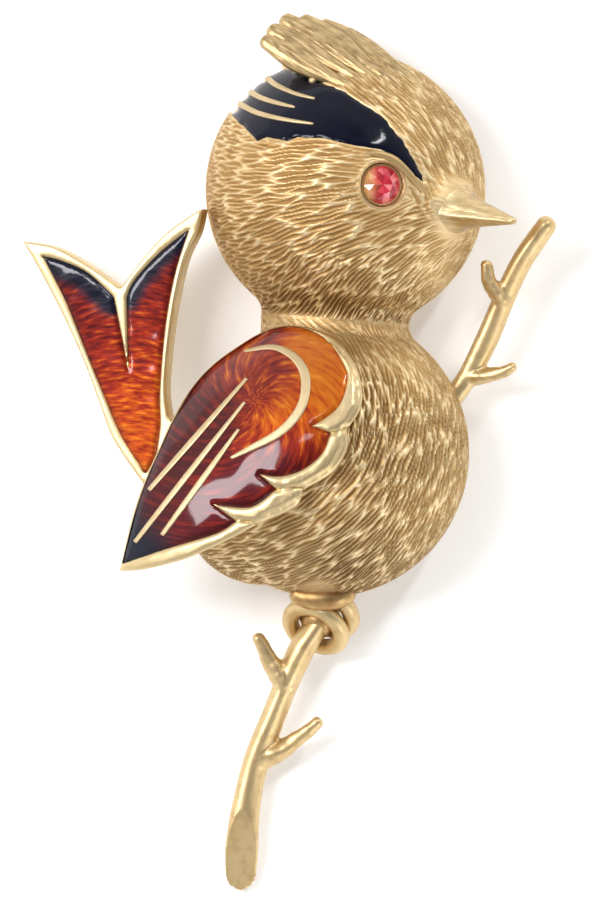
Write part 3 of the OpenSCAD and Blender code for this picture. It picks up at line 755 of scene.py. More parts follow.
# Painted highlight on the locks' front faces, painted shade between them.
give_cut_and_light(crest, CREST_WAY)
filed_and_lit_gold = material_of("filed_and_lit_gold", filed_and_lit_finish)
crest.data.materials.append(filed_and_lit_gold)
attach(crest, "root")
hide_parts("bird_shell")

# The beak. A smooth conical bill that grows out of the face, with a soft ridge along its
# top, filed and polished after casting.
BEAK_START = HEAD_RADIUS - 0.5
BEAK_END = 15.5
BEAK_RADIUS = 1.44
BEAK_TIP = 0.2
BEAK_FILLET = 0.42
FILLET_RISE = 1.1
RIDGE_TURN = math.pi * 0.60
CHIN_TURN = math.pi * 1.62


def beak_mesh():
    """A cone with a ridge above and a fuller chin below, flared where it meets the face."""
    way = unit(BEAK_WAY)
    side = unit(np.cross([0, 0, 1], way))
    rise = np.cross(way, side)
    run = np.linspace(0, 1, 60) ** 1.15
    length = BEAK_END - BEAK_START
    above = run * length - (HEAD_RADIUS - BEAK_START)
    thinner = np.clip((1 - run) * length / (BEAK_END - HEAD_RADIUS), 0, 1.05)
    low = np.clip(1 - (above - 0.5) / FILLET_RISE, 0, 1)
    radius = BEAK_TIP + (BEAK_RADIUS - BEAK_TIP) * thinner + BEAK_FILLET * low ** 2
    cap = np.clip((1 - run) * length / BEAK_TIP, 0, 1)
    radius = radius * np.sqrt(np.maximum(1 - (1 - cap) ** 2, 1e-3))
    turn = np.arange(60) * 2 * math.pi / 60
    ridge = 0.20 * np.exp(-((turn - RIDGE_TURN) / 0.20) ** 2) - 0.04 * np.cos(2 * turn - 0.4)
    belly = 0.18 * np.exp(-(above / 1.9) ** 2) + 0.26 * np.sin(math.pi * np.clip(above / 5.9, 0, 1))
    chin = np.maximum(np.cos(turn - CHIN_TURN), 0) ** 2 * belly[:, None]
    reach = radius[:, None] * (1 + ridge[None] * eased(run, 0.08, 0.3)[:, None] + chin)
    axis = HEAD_MIDDLE + (BEAK_START + run * length)[:, None] * way
    return ring_solid(axis[:, None] + (reach * np.cos(turn))[:, :, None] * side
                      + (reach * np.sin(turn))[:, :, None] * rise)


beak = mesh_piece("beak", *beak_mesh())
# Painted highlight on what faces the front of the beak, painted shade on its sides.
give_cut_and_light(beak, BEAK_WAY, 0.6)
beak.data.materials.append(filed_and_lit_gold)
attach(beak, "root")
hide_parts("bird_shell")

# The eye. A small round faceted red stone in a sunk seat, with a thin gold setting edge
# and a raised lid over it that runs to the corner of the beak.
STONE_RADIUS = 1.33
STONE_RISE = 0.42
STONE_POINT = -1.02
RING_CORNERS = 64
# The closed boss behind the seat, from its inner end outwards: [radius, height over the head]
SEAT_RINGS = [[1.55, -1.42], [1.72, -1.30], [1.72, -1.06]]
LID = [[0.12, 0.240, 0.955, 0.10], [0.22, 0.245, 0.940, 0.22], [0.33, 0.210, 0.918, 0.28],
       [0.42, 0.130, 0.895, 0.29], [0.495, 0.040, 0.864, 0.26], [0.57, -0.060, 0.816, 0.14]]


eye_out = unit(EYE_WAY)
eye_side = unit(np.cross([0, 1, 0], eye_out))


def eye_circle(radius, height, count=RING_CORNERS, start=0.0):
    turn = start + np.arange(count)[:, None] * 2 * math.pi / count
    return (HEAD_MIDDLE + (HEAD_RADIUS + height) * eye_out + radius * np.cos(turn) * eye_side
            + radius * np.sin(turn) * np.cross(eye_out, eye_side))


def stone_mesh():
    """A round cut: a table, stars, mains and girdle facets above, and a pavilion below. Every
    facet has its own corners, and a painted glint from 0 to 1 that says how brightly it shines."""
    eighth = math.pi / 8
    table = eye_circle(0.50 * STONE_RADIUS, STONE_RISE - 0.34, 8)
    middle = eye_circle(0.78 * STONE_RADIUS, STONE_RISE - 0.50, 8, eighth)
    girdle = eye_circle(STONE_RADIUS, STONE_RISE - 0.82, 16)
    lower = eye_circle(STONE_RADIUS, STONE_RISE - 0.90, 16)
    point = eye_circle(0, STONE_POINT, 1)
    heart = eye_circle(0, STONE_RISE - 0.34, 1)
    corners = np.concatenate([table, middle, girdle, lower, point, heart])
    faces = []
    for i in range(8):
        j = (i + 1) % 8
        faces += [[49, i, j], [i, 8 + i, j], [i, 16 + 2 * i, 8 + i], [j, 8 + i, 16 + 2 * j],
                  [8 + i, 16 + 2 * i, 16 + 2 * i + 1], [8 + i, 16 + 2 * i + 1, 16 + 2 * j]]
    for i in range(16):
        j = (i + 1) % 16
        faces += [[16 + i, 32 + i, 32 + j, 16 + j], [32 + i, 48, 32 + j]]
    split = np.concatenate([corners[face] for face in faces])
    chance = np.random.default_rng(8)
    flash = np.concatenate([np.full(len(face), chance.uniform()) for face in faces])
    starts = np.cumsum([0] + [len(face) for face in faces])
    return split, [list(range(a, b)) for a, b in zip(starts[:-1], starts[1:])], flash


def stone_finish(wire):
    """Facets painted from deep red to pink glints, and a painted reflection of the setting's gold along
    the left.
    """
    flash = wire.marked("flash")
    cloud = wire.speckle(0.5, 1)
    red = wire.ramp(flash * 0.8 + cloud * 0.3,
                    [(0.0, (0.22, 0.003, 0.012)), (0.35, (0.52, 0.008, 0.03)),
                     (0.7, (0.85, 0.06, 0.10)), (1.0, (1.0, 0.32, 0.30))])
    mirrored = wire.marked("mirrored") * (0.55 + flash * 0.4)
    return {"Base Color": wire.blend(red, rgb(0.85, 0.55, 0.20), mirrored), "Metallic": 0.0,
            "Roughness": 0.03 + 0.03 * cloud, "IOR": 1.76, "Transmission Weight": 0.25}


facets, facet_faces, facet_glints = stone_mesh()
stone = mesh_piece("eye_gem", facets, facet_faces, smooth=False)
# Painted glints: each facet gets one random brightness.
mark(stone, "flash", facet_glints)
# Painted reflection of the gold setting over the stone's left facets.
mark(stone, "mirrored", eased((HEAD_MIDDLE - facets) @ eye_side / STONE_RADIUS, 0.25, 0.75))
stone.data.materials.append(material_of("red_stone", stone_finish))
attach(stone, "root")
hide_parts("eye_stone")


def closed_ring(circle, radius, around=14):
    """A ring of wire about a closed row of points."""
    out = unit(circle - circle.mean(0))
    way = unit(np.cross(out[0], out[len(out) // 4]))
    turn = np.arange(around) * 2 * math.pi / around
    rings = (circle[:, None] + radius * np.cos(turn)[None, :, None] * out[:, None]
             + radius * np.sin(turn)[None, :, None] * way)
    row, column = np.divmod(np.arange(len(circle) * around), around)
    beside = row * around + (column + 1) % around
    below = (row + 1) % len(circle) * around
    faces = np.stack([row * around + column, beside, below + (column + 1) % around, below + column], 1)
    return rings.reshape(-1, 3), faces.tolist()


def plain_gold(pale, dark, cloud_size, grit_size, rough, spread, dent):
    """The finish of smooth gold, with faint clouds of a darker gold and a fine grit."""
    def finish(wire):
        cloud = wire.speckle(cloud_size, 3)
        grit = wire.speckle(grit_size, 2)
        return {"Base Color": wire.blend(pale, dark, cloud), "Metallic": 1.0,
                "Roughness": rough + spread * cloud, "Normal": wire.bump(grit, dent)}
    return finish


setting = mesh_piece("eye_setting", *joined([
    closed_ring(eye_circle(STONE_RADIUS + 0.04, -0.46), 0.07),
    closed_ring(eye_circle(SOCKET_RADIUS + 0.02, -0.14), 0.06),
    tube_along(on_head(LID), flat=0.8),
    ring_solid(np.stack([eye_circle(radius, height) for radius, height in SEAT_RINGS]))]))
setting.data.materials.append(material_of("setting_gold", plain_gold(
    rgb(0.62, 0.45, 0.23), rgb(0.42, 0.28, 0.12), cloud_size=2.2, grit_size=0.10,
    rough=0.42, spread=0.14, dent=0.006)))
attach(setting, "root")
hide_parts("bird_shell")

# The stripe. Blue-black glass enamel fired into a sunk field on the head, between three
# gold lines left standing in the casting, with one small gold bead at its upper edge.
# Each line: [right, up, width] in shares of the head's radius.
STRIPE_LINES = [
    [[-0.565, 0.80, 0.042], [-0.49, 0.74, 0.036], [-0.36, 0.68, 0.028], [-0.22, 0.64, 0.016]],
    [[-0.685, 0.70, 0.042], [-0.60, 0.65, 0.036], [-0.48, 0.61, 0.030], [-0.36, 0.58, 0.016]],
    [[-0.765, 0.615, 0.042], [-0.62, 0.54, 0.036], [-0.42, 0.49, 0.028], [-0.23, 0.46, 0.016]]]
BEAD_WAY = np.array([-0.233, 0.77, 0.594])
BEAD_RADIUS = 0.28
GLASS_UNDER = 0.42


def resampled(loop, step):
    """A closed outline again, with its points about a step apart."""
    ring = np.concatenate([loop, loop[:1]])
    run = run_along(ring)
    places = np.linspace(0, run[-1], max(int(run[-1] / step), 12), endpoint=False)
    return np.stack([np.interp(places, run, ring[:, 0]), np.interp(places, run, ring[:, 1])], 1)


def ribbon(rows, scale, corner):
    """The outline of a flat band along rows of [right, up, width], pointed at its end."""
    line = curve_through(np.asarray(rows, float) * scale, 0.12)
    reach = left_of(np.gradient(line[:, :2], axis=0)) * line[:, 2:] / 2
    return np.concatenate([line[:, :2] + reach, (line[:, :2] - reach)[::-1]]) + corner


def sheet(loops, keep, lift, floor, step, rings=(0.06, 0.16)):
    """A closed solid sheet between outlines: lift() gives its top from the place and the
    distance to the nearest edge, floor() gives its underside."""
    loops = [resampled(loop, min(step, 0.16)) for loop in loops]
    edge = np.concatenate(loops)
    low, high = edge.min(0), edge.max(0)
    across, up = np.meshgrid(np.arange(low[0], high[0], step), np.arange(low[1], high[1], step * 0.866))
    across = across + (np.arange(across.shape[0])[:, None] % 2) * step / 2
    inside = [np.stack([across.ravel(), up.ravel()], 1)]
    spare = [0.75 * step]
    for loop in loops:
        way = np.roll(loop, -1, axis=0) - np.roll(loop, 1, axis=0)
        side = left_of(way)
        for ring in rings:
            for turn in (1, -1):
                inside.append(loop + turn * ring * side)
                spare.append(0.85 * ring)
    chosen = []
    for some, least in zip(inside, spare):
        far = np.min([np.abs(outline_distance(some, loop)) for loop in loops], 0)
        some = some[(far > least) & keep(some)]
        if len(some):
            chosen.append(some)
    flat = np.concatenate([edge] + chosen)
    links, start = [], 0
    for loop in loops:
        links += [(start + i, start + (i + 1) % len(loop)) for i in range(len(loop))]
        start += len(loop)
    made = delaunay_2d_cdt([tuple(map(float, p)) for p in flat], links, [], 0, 1e-6)
    flat = np.array([tuple(p) for p in made[0]])
    faces = np.array(made[2])
    faces = faces[keep(flat[faces].mean(1))]
    used, faces = np.unique(faces, return_inverse=True)
    flat, faces = flat[used], faces.reshape(-1, 3)
    far = np.min([np.abs(outline_distance(flat, loop)) for loop in loops], 0)
    top, bottom = lift(flat, far), floor(flat)
    sides = np.concatenate([faces[:, [0, 1]], faces[:, [1, 2]], faces[:, [2, 0]]])
    key = np.sort(sides, axis=1)
    _, first, count = np.unique(key, axis=0, return_index=True, return_counts=True)
    rim = sides[first[count == 1]]
    size = len(flat)
    wall = np.stack([rim[:, 1], rim[:, 0], rim[:, 0] + size, rim[:, 1] + size], 1)
    return (np.concatenate([top, bottom]),
            faces.tolist() + (faces[:, ::-1] + size).tolist() + wall.tolist())


def on_dome(flat, height):
    """Points over the head's round face, so far above its skin."""
    offset = flat - HEAD_MIDDLE[:2]
    reach = HEAD_RADIUS + np.broadcast_to(height, len(flat))
    lie = np.sqrt((offset ** 2).sum(1))
    share = np.minimum(1, 0.985 * HEAD_RADIUS / np.maximum(lie, 1e-6))
    offset = offset * share[:, None] * (reach / HEAD_RADIUS)[:, None]
    out = np.sqrt(np.maximum(reach ** 2 - (offset ** 2).sum(1), 0))
    return np.concatenate([HEAD_MIDDLE[:2] + offset, (HEAD_MIDDLE[2] + out)[:, None]], 1)


def within(loop):
    """Tells which flat points lie inside an outline."""
    return lambda flat: outline_distance(flat, loop) > 0


stripe_lines = [ribbon(rows, HEAD_RADIUS, HEAD_MIDDLE[:2]) for rows in STRIPE_LINES]
stripe_edge = resampled(HEAD_STRIPE, 0.16)
off_middle = stripe_edge - HEAD_MIDDLE[:2]
off_reach = np.linalg.norm(off_middle, axis=1, keepdims=True)
stripe_edge = HEAD_MIDDLE[:2] + off_middle * np.minimum(1, 0.975 * HEAD_RADIUS / off_reach)
stripe_edge = stripe_edge + 0.09 * np.stack([ripple(stripe_edge, 0.7, 3), ripple(stripe_edge, 0.5, 4)], 1)


stripe_mesh = sheet([stripe_edge], within(stripe_edge),
                    lambda flat, far: on_dome(flat, -0.02 - 0.10 * np.exp(-(far / 0.12) ** 2)
                                              + 0.012 * ripple(flat, 1.6, 8)),
                    lambda flat: on_dome(flat, -GLASS_UNDER), step=0.3)
stripe = mesh_piece("stripe_enamel", *stripe_mesh)


def black_glass(wire):
    """Glass so dark that it only shines, a little wavy from the fire."""
    cloud = wire.speckle(1.4, 3)
    pits = wire.speckle(0.35, 2)
    return {"Base Color": wire.blend(rgb(0.002, 0.002, 0.006), rgb(0.004, 0.006, 0.018), cloud),
            "Roughness": 0.07 + 0.07 * cloud, "IOR": 1.5, "Specular IOR Level": 0.2,
            "Normal": wire.bump(pits * 0.12 + cloud, 0.012)}


stripe.data.materials.append(material_of("black_enamel", black_glass))
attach(stripe, "root")
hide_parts("head_enamel")


LINE_RISE = 0.05


def standing_line(outline, over, rise=LINE_RISE):
    """One gold line with a rounded back."""
    half = np.abs(outline_distance(resampled(outline, 0.1), outline)).max() + 0.14
    return sheet([outline], within(outline),
                 lambda flat, far: over(flat, rise * (1 - np.exp(-9 * far / half)) + 0.01),
                 lambda flat: over(flat, -0.3), step=0.14, rings=(0.05,))


def ball_mesh(middle, radius, rings=16):
    """A round ball of fused gold."""
    turn = np.linspace(0, math.pi, rings + 1)[1:-1]
    around = np.arange(2 * rings) * math.pi / rings
    ring = np.stack([np.sin(turn)[:, None] * np.cos(around), np.sin(turn)[:, None] * np.sin(around),
                     np.repeat(np.cos(turn)[:, None], 2 * rings, 1)], 2)
    rows, columns = ring.shape[:2]
    corners = np.concatenate([ring.reshape(-1, 3), [[0, 0, 1], [0, 0, -1]]]) * radius + middle
    faces = [[r * columns + c, (r + 1) * columns + c, (r + 1) * columns + (c + 1) % columns,
              r * columns + (c + 1) % columns] for r in range(rows - 1) for c in range(columns)]
    top, last = rows * columns, (rows - 1) * columns
    faces += [[top, c, (c + 1) % columns] for c in range(columns)]
    faces += [[top + 1, last + (c + 1) % columns, last + c] for c in range(columns)]
    return corners, faces


lines = [standing_line(outline, on_dome) for outline in stripe_lines]
bead = ball_mesh(HEAD_MIDDLE + HEAD_RADIUS * BEAD_WAY, BEAD_RADIUS)
stripe_gold = mesh_piece("stripe_lines", *joined(lines + [bead]))
line_gold = material_of("line_gold", plain_gold(
    rgb(0.70, 0.57, 0.36), rgb(0.54, 0.41, 0.22), cloud_size=1.2, grit_size=0.12,
    rough=0.46, spread=0.12, dent=0.012))
stripe_gold.data.materials.append(line_gold)
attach(stripe_gold, "root")
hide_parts("bird_shell")

# The wing. A crowned gold wing set on the side of the body: its rim, three rounded feather
# tips, the loop and three lines stand up between sunk fields for the enamel.
# Outlines in shares of the wing's length from its root: [right, up, is a corner]
WING_EDGE = [
    [-0.101, 0.215, 0], [-0.199, 0.160, 0], [-0.276, 0.101, 0], [-0.337, 0.031, 0],
    [-0.387, -0.052, 0], [-0.429, -0.141, 0], [-0.472, -0.239, 0], [-0.512, -0.353, 0],
    [-0.553, -0.525, 1], [-0.472, -0.518, 0], [-0.347, -0.485, 0], [-0.209, -0.423, 0],
    [-0.129, -0.380, 0], [-0.012, -0.325, 0], [0.009, -0.276, 1], [0.101, -0.221, 0],
    [0.144, -0.150, 0], [0.144, -0.092, 1], [0.184, -0.031, 0], [0.190, 0.031, 0],
    [0.169, 0.110, 0], [0.101, 0.193, 0], [-0.009, 0.227, 0]]
WING_FIELD = [
    [-0.009, 0.222, 0], [0.077, 0.186, 0], [0.129, 0.115, 0], [0.144, 0.058, 0],
    [0.113, -0.025, 0], [0.037, -0.080, 1], [0.092, -0.101, 1], [0.067, -0.163, 0],
    [0.009, -0.212, 0], [-0.061, -0.233, 0], [-0.123, -0.227, 1], [-0.074, -0.273, 1],
    [-0.144, -0.325, 0], [-0.227, -0.325, 0], [-0.264, -0.319, 1], [-0.196, -0.371, 1],
    [-0.255, -0.408, 0], [-0.402, -0.453, 0], [-0.546, -0.502, 1], [-0.508, -0.352, 0],
    [-0.469, -0.240, 0], [-0.426, -0.143, 0], [-0.384, -0.054, 0], [-0.334, 0.028, 0],
    [-0.274, 0.097, 0], [-0.198, 0.155, 0], [-0.100, 0.211, 0]]
# The cuts between the feather tips, from end to end.
FEATHER_GROOVES = [[[0.090, -0.103], [0.146, -0.086]], [[-0.070, -0.274], [0.009, -0.268]],
                   [[-0.193, -0.366], [-0.121, -0.379]]]
# The loop and the three straight lines: [right, up, width].
WING_LINES = [
    [[-0.172, 0.150, 0.008], [-0.089, 0.163, 0.017], [-0.034, 0.144, 0.024], [0.003, 0.107, 0.028],
     [0.018, 0.058, 0.030], [0.009, -0.009, 0.029], [-0.025, -0.064, 0.028],
     [-0.074, -0.107, 0.025], [-0.144, -0.144, 0.019], [-0.212, -0.178, 0.010]],
    [[-0.163, 0.067, 0.010], [-0.313, -0.105, 0.018], [-0.463, -0.276, 0.014]],
    [[-0.169, -0.006, 0.010], [-0.338, -0.221, 0.018], [-0.506, -0.436, 0.014]],
    [[-0.187, -0.089, 0.010], [-0.305, -0.252, 0.019], [-0.423, -0.414, 0.014]]]
WING_CROWN = np.array([-3.619, -0.199, 12.413])
WING_SLOPE = np.array([-0.38, 0.25, 1.0])
WING_HEADING = np.array([-0.687, -0.726])
WING_BOW = 27.0
WING_ROLL = 12.0
WING_DEPTH = 3.9
FIELD_SUNK = 0.42


def smooth_outline(rows, steps=8):
    """A smooth closed line through rows of [right, up, is a corner], sharp at the corners."""
    rows = np.asarray(rows, float)
    here, corner = rows[:, :2], rows[:, 2:] == 1
    before, after = np.roll(here, 1, axis=0), np.roll(here, -1, axis=0)
    leaving = np.where(corner, after - here, after - before) / 2
    arriving = np.where(corner, here - before, after - before) / 2
    share = np.arange(steps)[None, :, None] / steps
    start, end = here[:, None], after[:, None]
    return ((2 * share ** 3 - 3 * share ** 2 + 1) * start
            + (share ** 3 - 2 * share ** 2 + share) * leaving[:, None]
            + (3 * share ** 2 - 2 * share ** 3) * end
            + (share ** 3 - share ** 2) * np.roll(arriving, -1, axis=0)[:, None]).reshape(-1, 2)


wing_out = unit(WING_SLOPE)
wing_long = unit(np.array([*WING_HEADING, -(wing_out[:2] @ WING_HEADING) / wing_out[2]]))
wing_wide = np.cross(wing_out, wing_long)


def on_wing(flat, height):
    """Points over the wing's crowned face, so far above it along its slope."""
    rise = np.full(len(flat), WING_CROWN[2])
    for _ in range(12):
        offset = np.concatenate([flat, rise[:, None]], 1) - WING_CROWN
        wide = np.clip(offset @ wing_wide, -WING_ROLL * 0.98, WING_ROLL * 0.98)
        reach = WING_BOW - WING_ROLL + np.sqrt(WING_ROLL ** 2 - wide ** 2)
        face = np.sqrt(np.maximum(reach ** 2 - (offset @ wing_long) ** 2, 1)) - WING_BOW
        rise = rise + (face - offset @ wing_out) / wing_out[2]
    return np.concatenate([flat, (rise + height)[:, None]], 1)


def under_wing(flat):
    """The wing's flat back, or the body's skin where that stands higher."""
    offset = flat - WING_CROWN[:2]
    back = WING_CROWN[2] - (offset @ wing_out[:2] + WING_DEPTH) / wing_out[2]
    round_body = BODY_RADIUS ** 2 - ((flat - BODY_MIDDLE[:2]) ** 2).sum(1)
    body = BODY_MIDDLE[2] + np.sqrt(np.maximum(round_body, 0)) - 0.1
    floor = np.maximum(np.maximum(back, np.where(round_body > 0, body, 0)), RIM_HEIGHT + 0.02)
    return np.concatenate([flat, np.minimum(floor, on_wing(flat, -0.5)[:, 2])[:, None]], 1)


wing_edge = smooth_outline(WING_EDGE) * WING_LENGTH + WING_ROOT
wing_field = smooth_outline(WING_FIELD) * WING_LENGTH + WING_ROOT
wing_lines = [ribbon(rows, WING_LENGTH, WING_ROOT) for rows in WING_LINES]


def between(edge, field):
    """Tells which flat points lie on a rim, inside its edge and outside its field."""
    return lambda flat: (outline_distance(flat, edge) > 0) & (outline_distance(flat, field) < 0)


def off_segment(points, start, end):
    """How far flat points lie off a straight line from a start to an end."""
    step = end - start
    share = np.clip((points - start) @ step / (step @ step), 0, 1)
    return np.linalg.norm(points - start - share[:, None] * step, axis=1)


def rim_top(flat, far):
    """Rounded rims and pillowed feather tips, with a stepped-down band outside each tip."""
    outside = outline_distance(flat, wing_edge)
    height = 0.26 * np.sqrt(1 - (1 - np.clip(far / 0.36, 0, 1)) ** 2) - 0.02
    band = eased(outside, 0.46, 0.38) * eased(flat[:, 0] - WING_ROOT[0], -3.2, -1.8)
    groove = np.zeros(len(flat))
    for start, end in np.array(FEATHER_GROOVES) * WING_LENGTH + WING_ROOT:
        groove = np.maximum(groove, np.exp(-(off_segment(flat, start, end) / 0.11) ** 2))
    return on_wing(flat, height - 0.20 * band - 0.22 * groove + 0.012 * ripple(flat, 0.9, 31))


polished_gold = material_of("polished_gold", plain_gold(
    rgb(0.76, 0.62, 0.37), rgb(0.58, 0.43, 0.21), cloud_size=2.5, grit_size=0.09,
    rough=0.33, spread=0.14, dent=0.006))
rim = sheet([wing_edge, wing_field], between(wing_edge, wing_field), rim_top, under_wing,
            step=0.22, rings=(0.05, 0.13, 0.24))
bed = sheet([wing_field], within(wing_field), lambda flat, far: on_wing(flat, -FIELD_SUNK),
            under_wing, step=0.6)
wing_gold = mesh_piece("wing_gold", *joined([rim, bed]), crisp=50)
wing_gold.data.materials.append(polished_gold)
wing_wires = mesh_piece("wing_lines", *joined([standing_line(line, on_wing) for line in wing_lines]))
wing_wires.data.materials.append(line_gold)
for piece in (wing_gold, wing_wires):
    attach(piece, "root")
    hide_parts("wing_frame")

# The wing's enamel. Clear coloured glass over gold that was cut with fine rays, from amber
# at the shoulder through red to blue-black at the tip, ground and polished to a gloss.
GLASS_FLOOR = 0.40
FAN_MIDDLE = place_in_photo(256, 400)


def glass_sheet(field, over, sunk, wave, size, seed):
    """Glass in a field: its top dips a little at the edge and is not quite even."""
    return sheet([field], within(field),
                 lambda flat, far: over(flat, -sunk - 0.09 * np.exp(-(far / 0.15) ** 2)
                                        + wave * ripple(flat, size, seed)),
                 lambda flat: over(flat, -GLASS_FLOOR), step=0.26)


wing_glass = mesh_piece("wing_glass", *glass_sheet(wing_field, on_wing, sunk=0.03, wave=0.02,
                                                   size=2.4, seed=41))


def inside_loop(flat):
    """1 inside the round loop at the wing's shoulder, 0 outside."""
    loop = curve_through(np.asarray(WING_LINES[0])[:, :3], 0.01)[:, :2]
    return eased(outline_distance(flat, loop * WING_LENGTH + WING_ROOT), -0.05, 0.05)


def wing_tones(flat):
    """Two tones of the glass over the wing: from amber 0 to red 1, and how near to black."""
    share = (flat - WING_ROOT) / WING_LENGTH
    along = share @ unit(WING_HEADING)
    loop = inside_loop(flat)
    wide = share @ np.array([0.726, -0.687])
    inner = 0.26 + 0.34 * eased(wide, -0.02, -0.12) + 0.40 * eased(along, 0.08, 0.26)
    band = 0.05 + 0.95 * np.maximum(eased(along, -0.10, 0.26), 0.6 * eased(wide, -0.12, -0.20))
    red = np.clip(loop * inner + (1 - loop) * band, 0, 1)
    left_edge = eased(outline_distance(flat, wing_edge), 1.0, 0.25) * eased(wide, -0.05, -0.24)
    black = eased(along, 0.52, 0.66) + 0.8 * eased(along, 0.30, 0.55) * left_edge
    return red, np.clip(black, 0, 1)


def colour_glass(piece, tones, rays):
    """Marks the glass's tones, and places in a noise drawn out along the strokes cut under it."""
    flat = read_corners(piece)[:, :2] / MM
    for name, values in zip(("redness", "blackness"), tones(flat)):
        mark(piece, name, values)
    mark(piece, "rays", rays(flat))


def wing_rays(flat):
    """Strokes that fan out from a point inside the loop, and curl a little."""
    offset = flat - FAN_MIDDLE
    reach = np.linalg.norm(offset, axis=1, keepdims=True) + 0.15
    right, up = (offset / reach).T[:, :, None]
    cosine, sine = np.cos(0.25 * reach), np.sin(0.25 * reach)
    curled = np.concatenate([cosine * right - sine * up, cosine * up + sine * right], 1)
    return np.concatenate([curled * (5.5 + 0.9 * reach), reach * 0.4], 1)


def glass_colour(wire, flecks):
    """Amber, orange, red and burgundy glass by redness, with the cut pattern under it and painted glints
    in its flecks, going to blue-black.
    """
    red = wire.marked("redness")
    warm = wire.ramp(red - (flecks - 0.5) * 1.5,
                     [(0.0, (0.52, 0.140, 0.006)), (0.3, (0.42, 0.068, 0.004)),
                      (0.6, (0.22, 0.014, 0.004)), (1.0, (0.060, 0.002, 0.004))])
    # Painted glint: the brightest flecks turn bright orange, less so where the glass is red.
    painted_fleck_glint = (flecks * 4.4 - 2.6).clamped() * 0.65 * (1 - red)
    return wire.blend(wire.blend(warm, rgb(0.95, 0.42, 0.04), painted_fleck_glint), rgb(0.004, 0.005, 0.016),
                      wire.marked("blackness"))


def cut_glass_finish(wire):
    """Gold seen through coloured glass: its cuts glint, and a clear gloss lies over them."""
    flecks = wire.add("TexNoise", {}, {"Vector": wire.marked("rays", 1), "Scale": 1.0, "Detail": 3.0})
    wave = wire.speckle(3.5, 1)
    black = wire.marked("blackness")
    return {"Base Color": glass_colour(wire, flecks), "Metallic": 0.55 - 0.5 * black,
            "Roughness": 0.46 - 0.2 * black, "Specular IOR Level": 0.1, "Coat Weight": 1.0,
            "Coat Roughness": 0.07, "Coat IOR": 1.36,
            "Normal": wire.bump(flecks * 0.5 + wave * 0.3, 0.05)}


colour_glass(wing_glass, wing_tones, wing_rays)
wing_glass.data.materials.append(material_of("wing_enamel", cut_glass_finish))
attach(wing_glass, "root")
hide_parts("wing_enamel")

# The tail. A forked flat plate behind the body, its right edge tipped up, with a narrow
# raised gold rim round one sunk field that a gold wedge splits from the fork downwards.
# Outlines in shares of the tail's length from its root: [right, up, is a corner]
TAIL_EDGE = [
    [-0.541, 0.812, 1], [-0.406, 0.788, 0], [-0.266, 0.714, 0], [-0.127, 0.620, 1],
    [-0.038, 0.735, 0], [0.063, 0.841, 0], [0.173, 0.918, 0], [0.220, 0.943, 1],
    [0.199, 0.849, 0], [0.148, 0.743, 0], [0.114, 0.612, 0], [0.084, 0.441, 0],
    [0.063, 0.220, 0], [0.076, 0.090, 1], [0.211, 0.000, 1], [0.190, -0.163, 1],
    [0.040, -0.200, 1], [-0.030, -0.180, 1], [-0.122, -0.053, 0], [-0.177, 0.045, 0],
    [-0.266, 0.282, 0], [-0.359, 0.486, 0], [-0.452, 0.661, 0]]
TAIL_FIELD = [
    [-0.456, 0.751, 1], [-0.376, 0.731, 0], [-0.266, 0.682, 0], [-0.156, 0.584, 1],
    [-0.095, 0.290, 1], [-0.101, 0.584, 1], [-0.068, 0.653, 0], [0.042, 0.767, 0],
    [0.161, 0.857, 1], [0.110, 0.706, 0], [0.072, 0.531, 0], [0.050, 0.355, 0],
    [0.038, 0.176, 0], [0.040, 0.061, 0], [0.020, -0.080, 1], [-0.021, -0.135, 1],
    [-0.118, 0.008, 0], [-0.194, 0.176, 0], [-0.270, 0.355, 0], [-0.359, 0.567, 0]]
TAIL_LENGTH = 16.8
TAIL_THICK = 1.5
TAIL_TURN = math.radians(15)
TAIL_ROOT = np.array([-9.430, 0.826, 4.9])
tail_edge = smooth_outline(TAIL_EDGE) * TAIL_LENGTH
tail_field = smooth_outline(TAIL_FIELD) * TAIL_LENGTH


def on_tail(flat, height):
    """Points of the tail's own plane, so far above its face, stood in their tipped place."""
    height = np.broadcast_to(height, len(flat))
    cosine, sine = math.cos(TAIL_TURN), math.sin(TAIL_TURN)
    return TAIL_ROOT + np.stack([flat[:, 0] * cosine - height * sine, flat[:, 1],
                                 flat[:, 0] * sine + height * cosine], 1)


def tail_rim_top(flat, far):
    return on_tail(flat, -0.12 + 0.14 * np.sqrt(1 - (1 - np.clip(far / 0.22, 0, 1)) ** 2))


def under_tail(flat):
    return on_tail(flat, -TAIL_THICK)


tail_rim = sheet([tail_edge, tail_field], between(tail_edge, tail_field), tail_rim_top, under_tail,
                 step=0.28, rings=(0.05, 0.13))
tail_bed = sheet([tail_field], within(tail_field), lambda flat, far: on_tail(flat, -FIELD_SUNK),
                 under_tail, step=0.8)
tail_gold = mesh_piece("tail_gold", *joined([tail_rim, tail_bed]), crisp=50)
tail_gold.data.materials.append(polished_gold)
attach(tail_gold, "root")
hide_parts("tail_frame")

# The tail's enamel. The same clear glass, orange at the root, red above and blue-black at
# both tips, over gold cut with a fine crossed pattern.
# The field's upper edges, which are dark, and how far down the dark reaches in millimetres.
DARK_EDGES = (([0, 1, 2, 3], 1.75), ([5, 6, 7, 8], 1.45))
tail_glass = mesh_piece("tail_glass", *glass_sheet(tail_field, on_tail, sunk=0.05, wave=0.015,
                                                   size=2.0, seed=51))


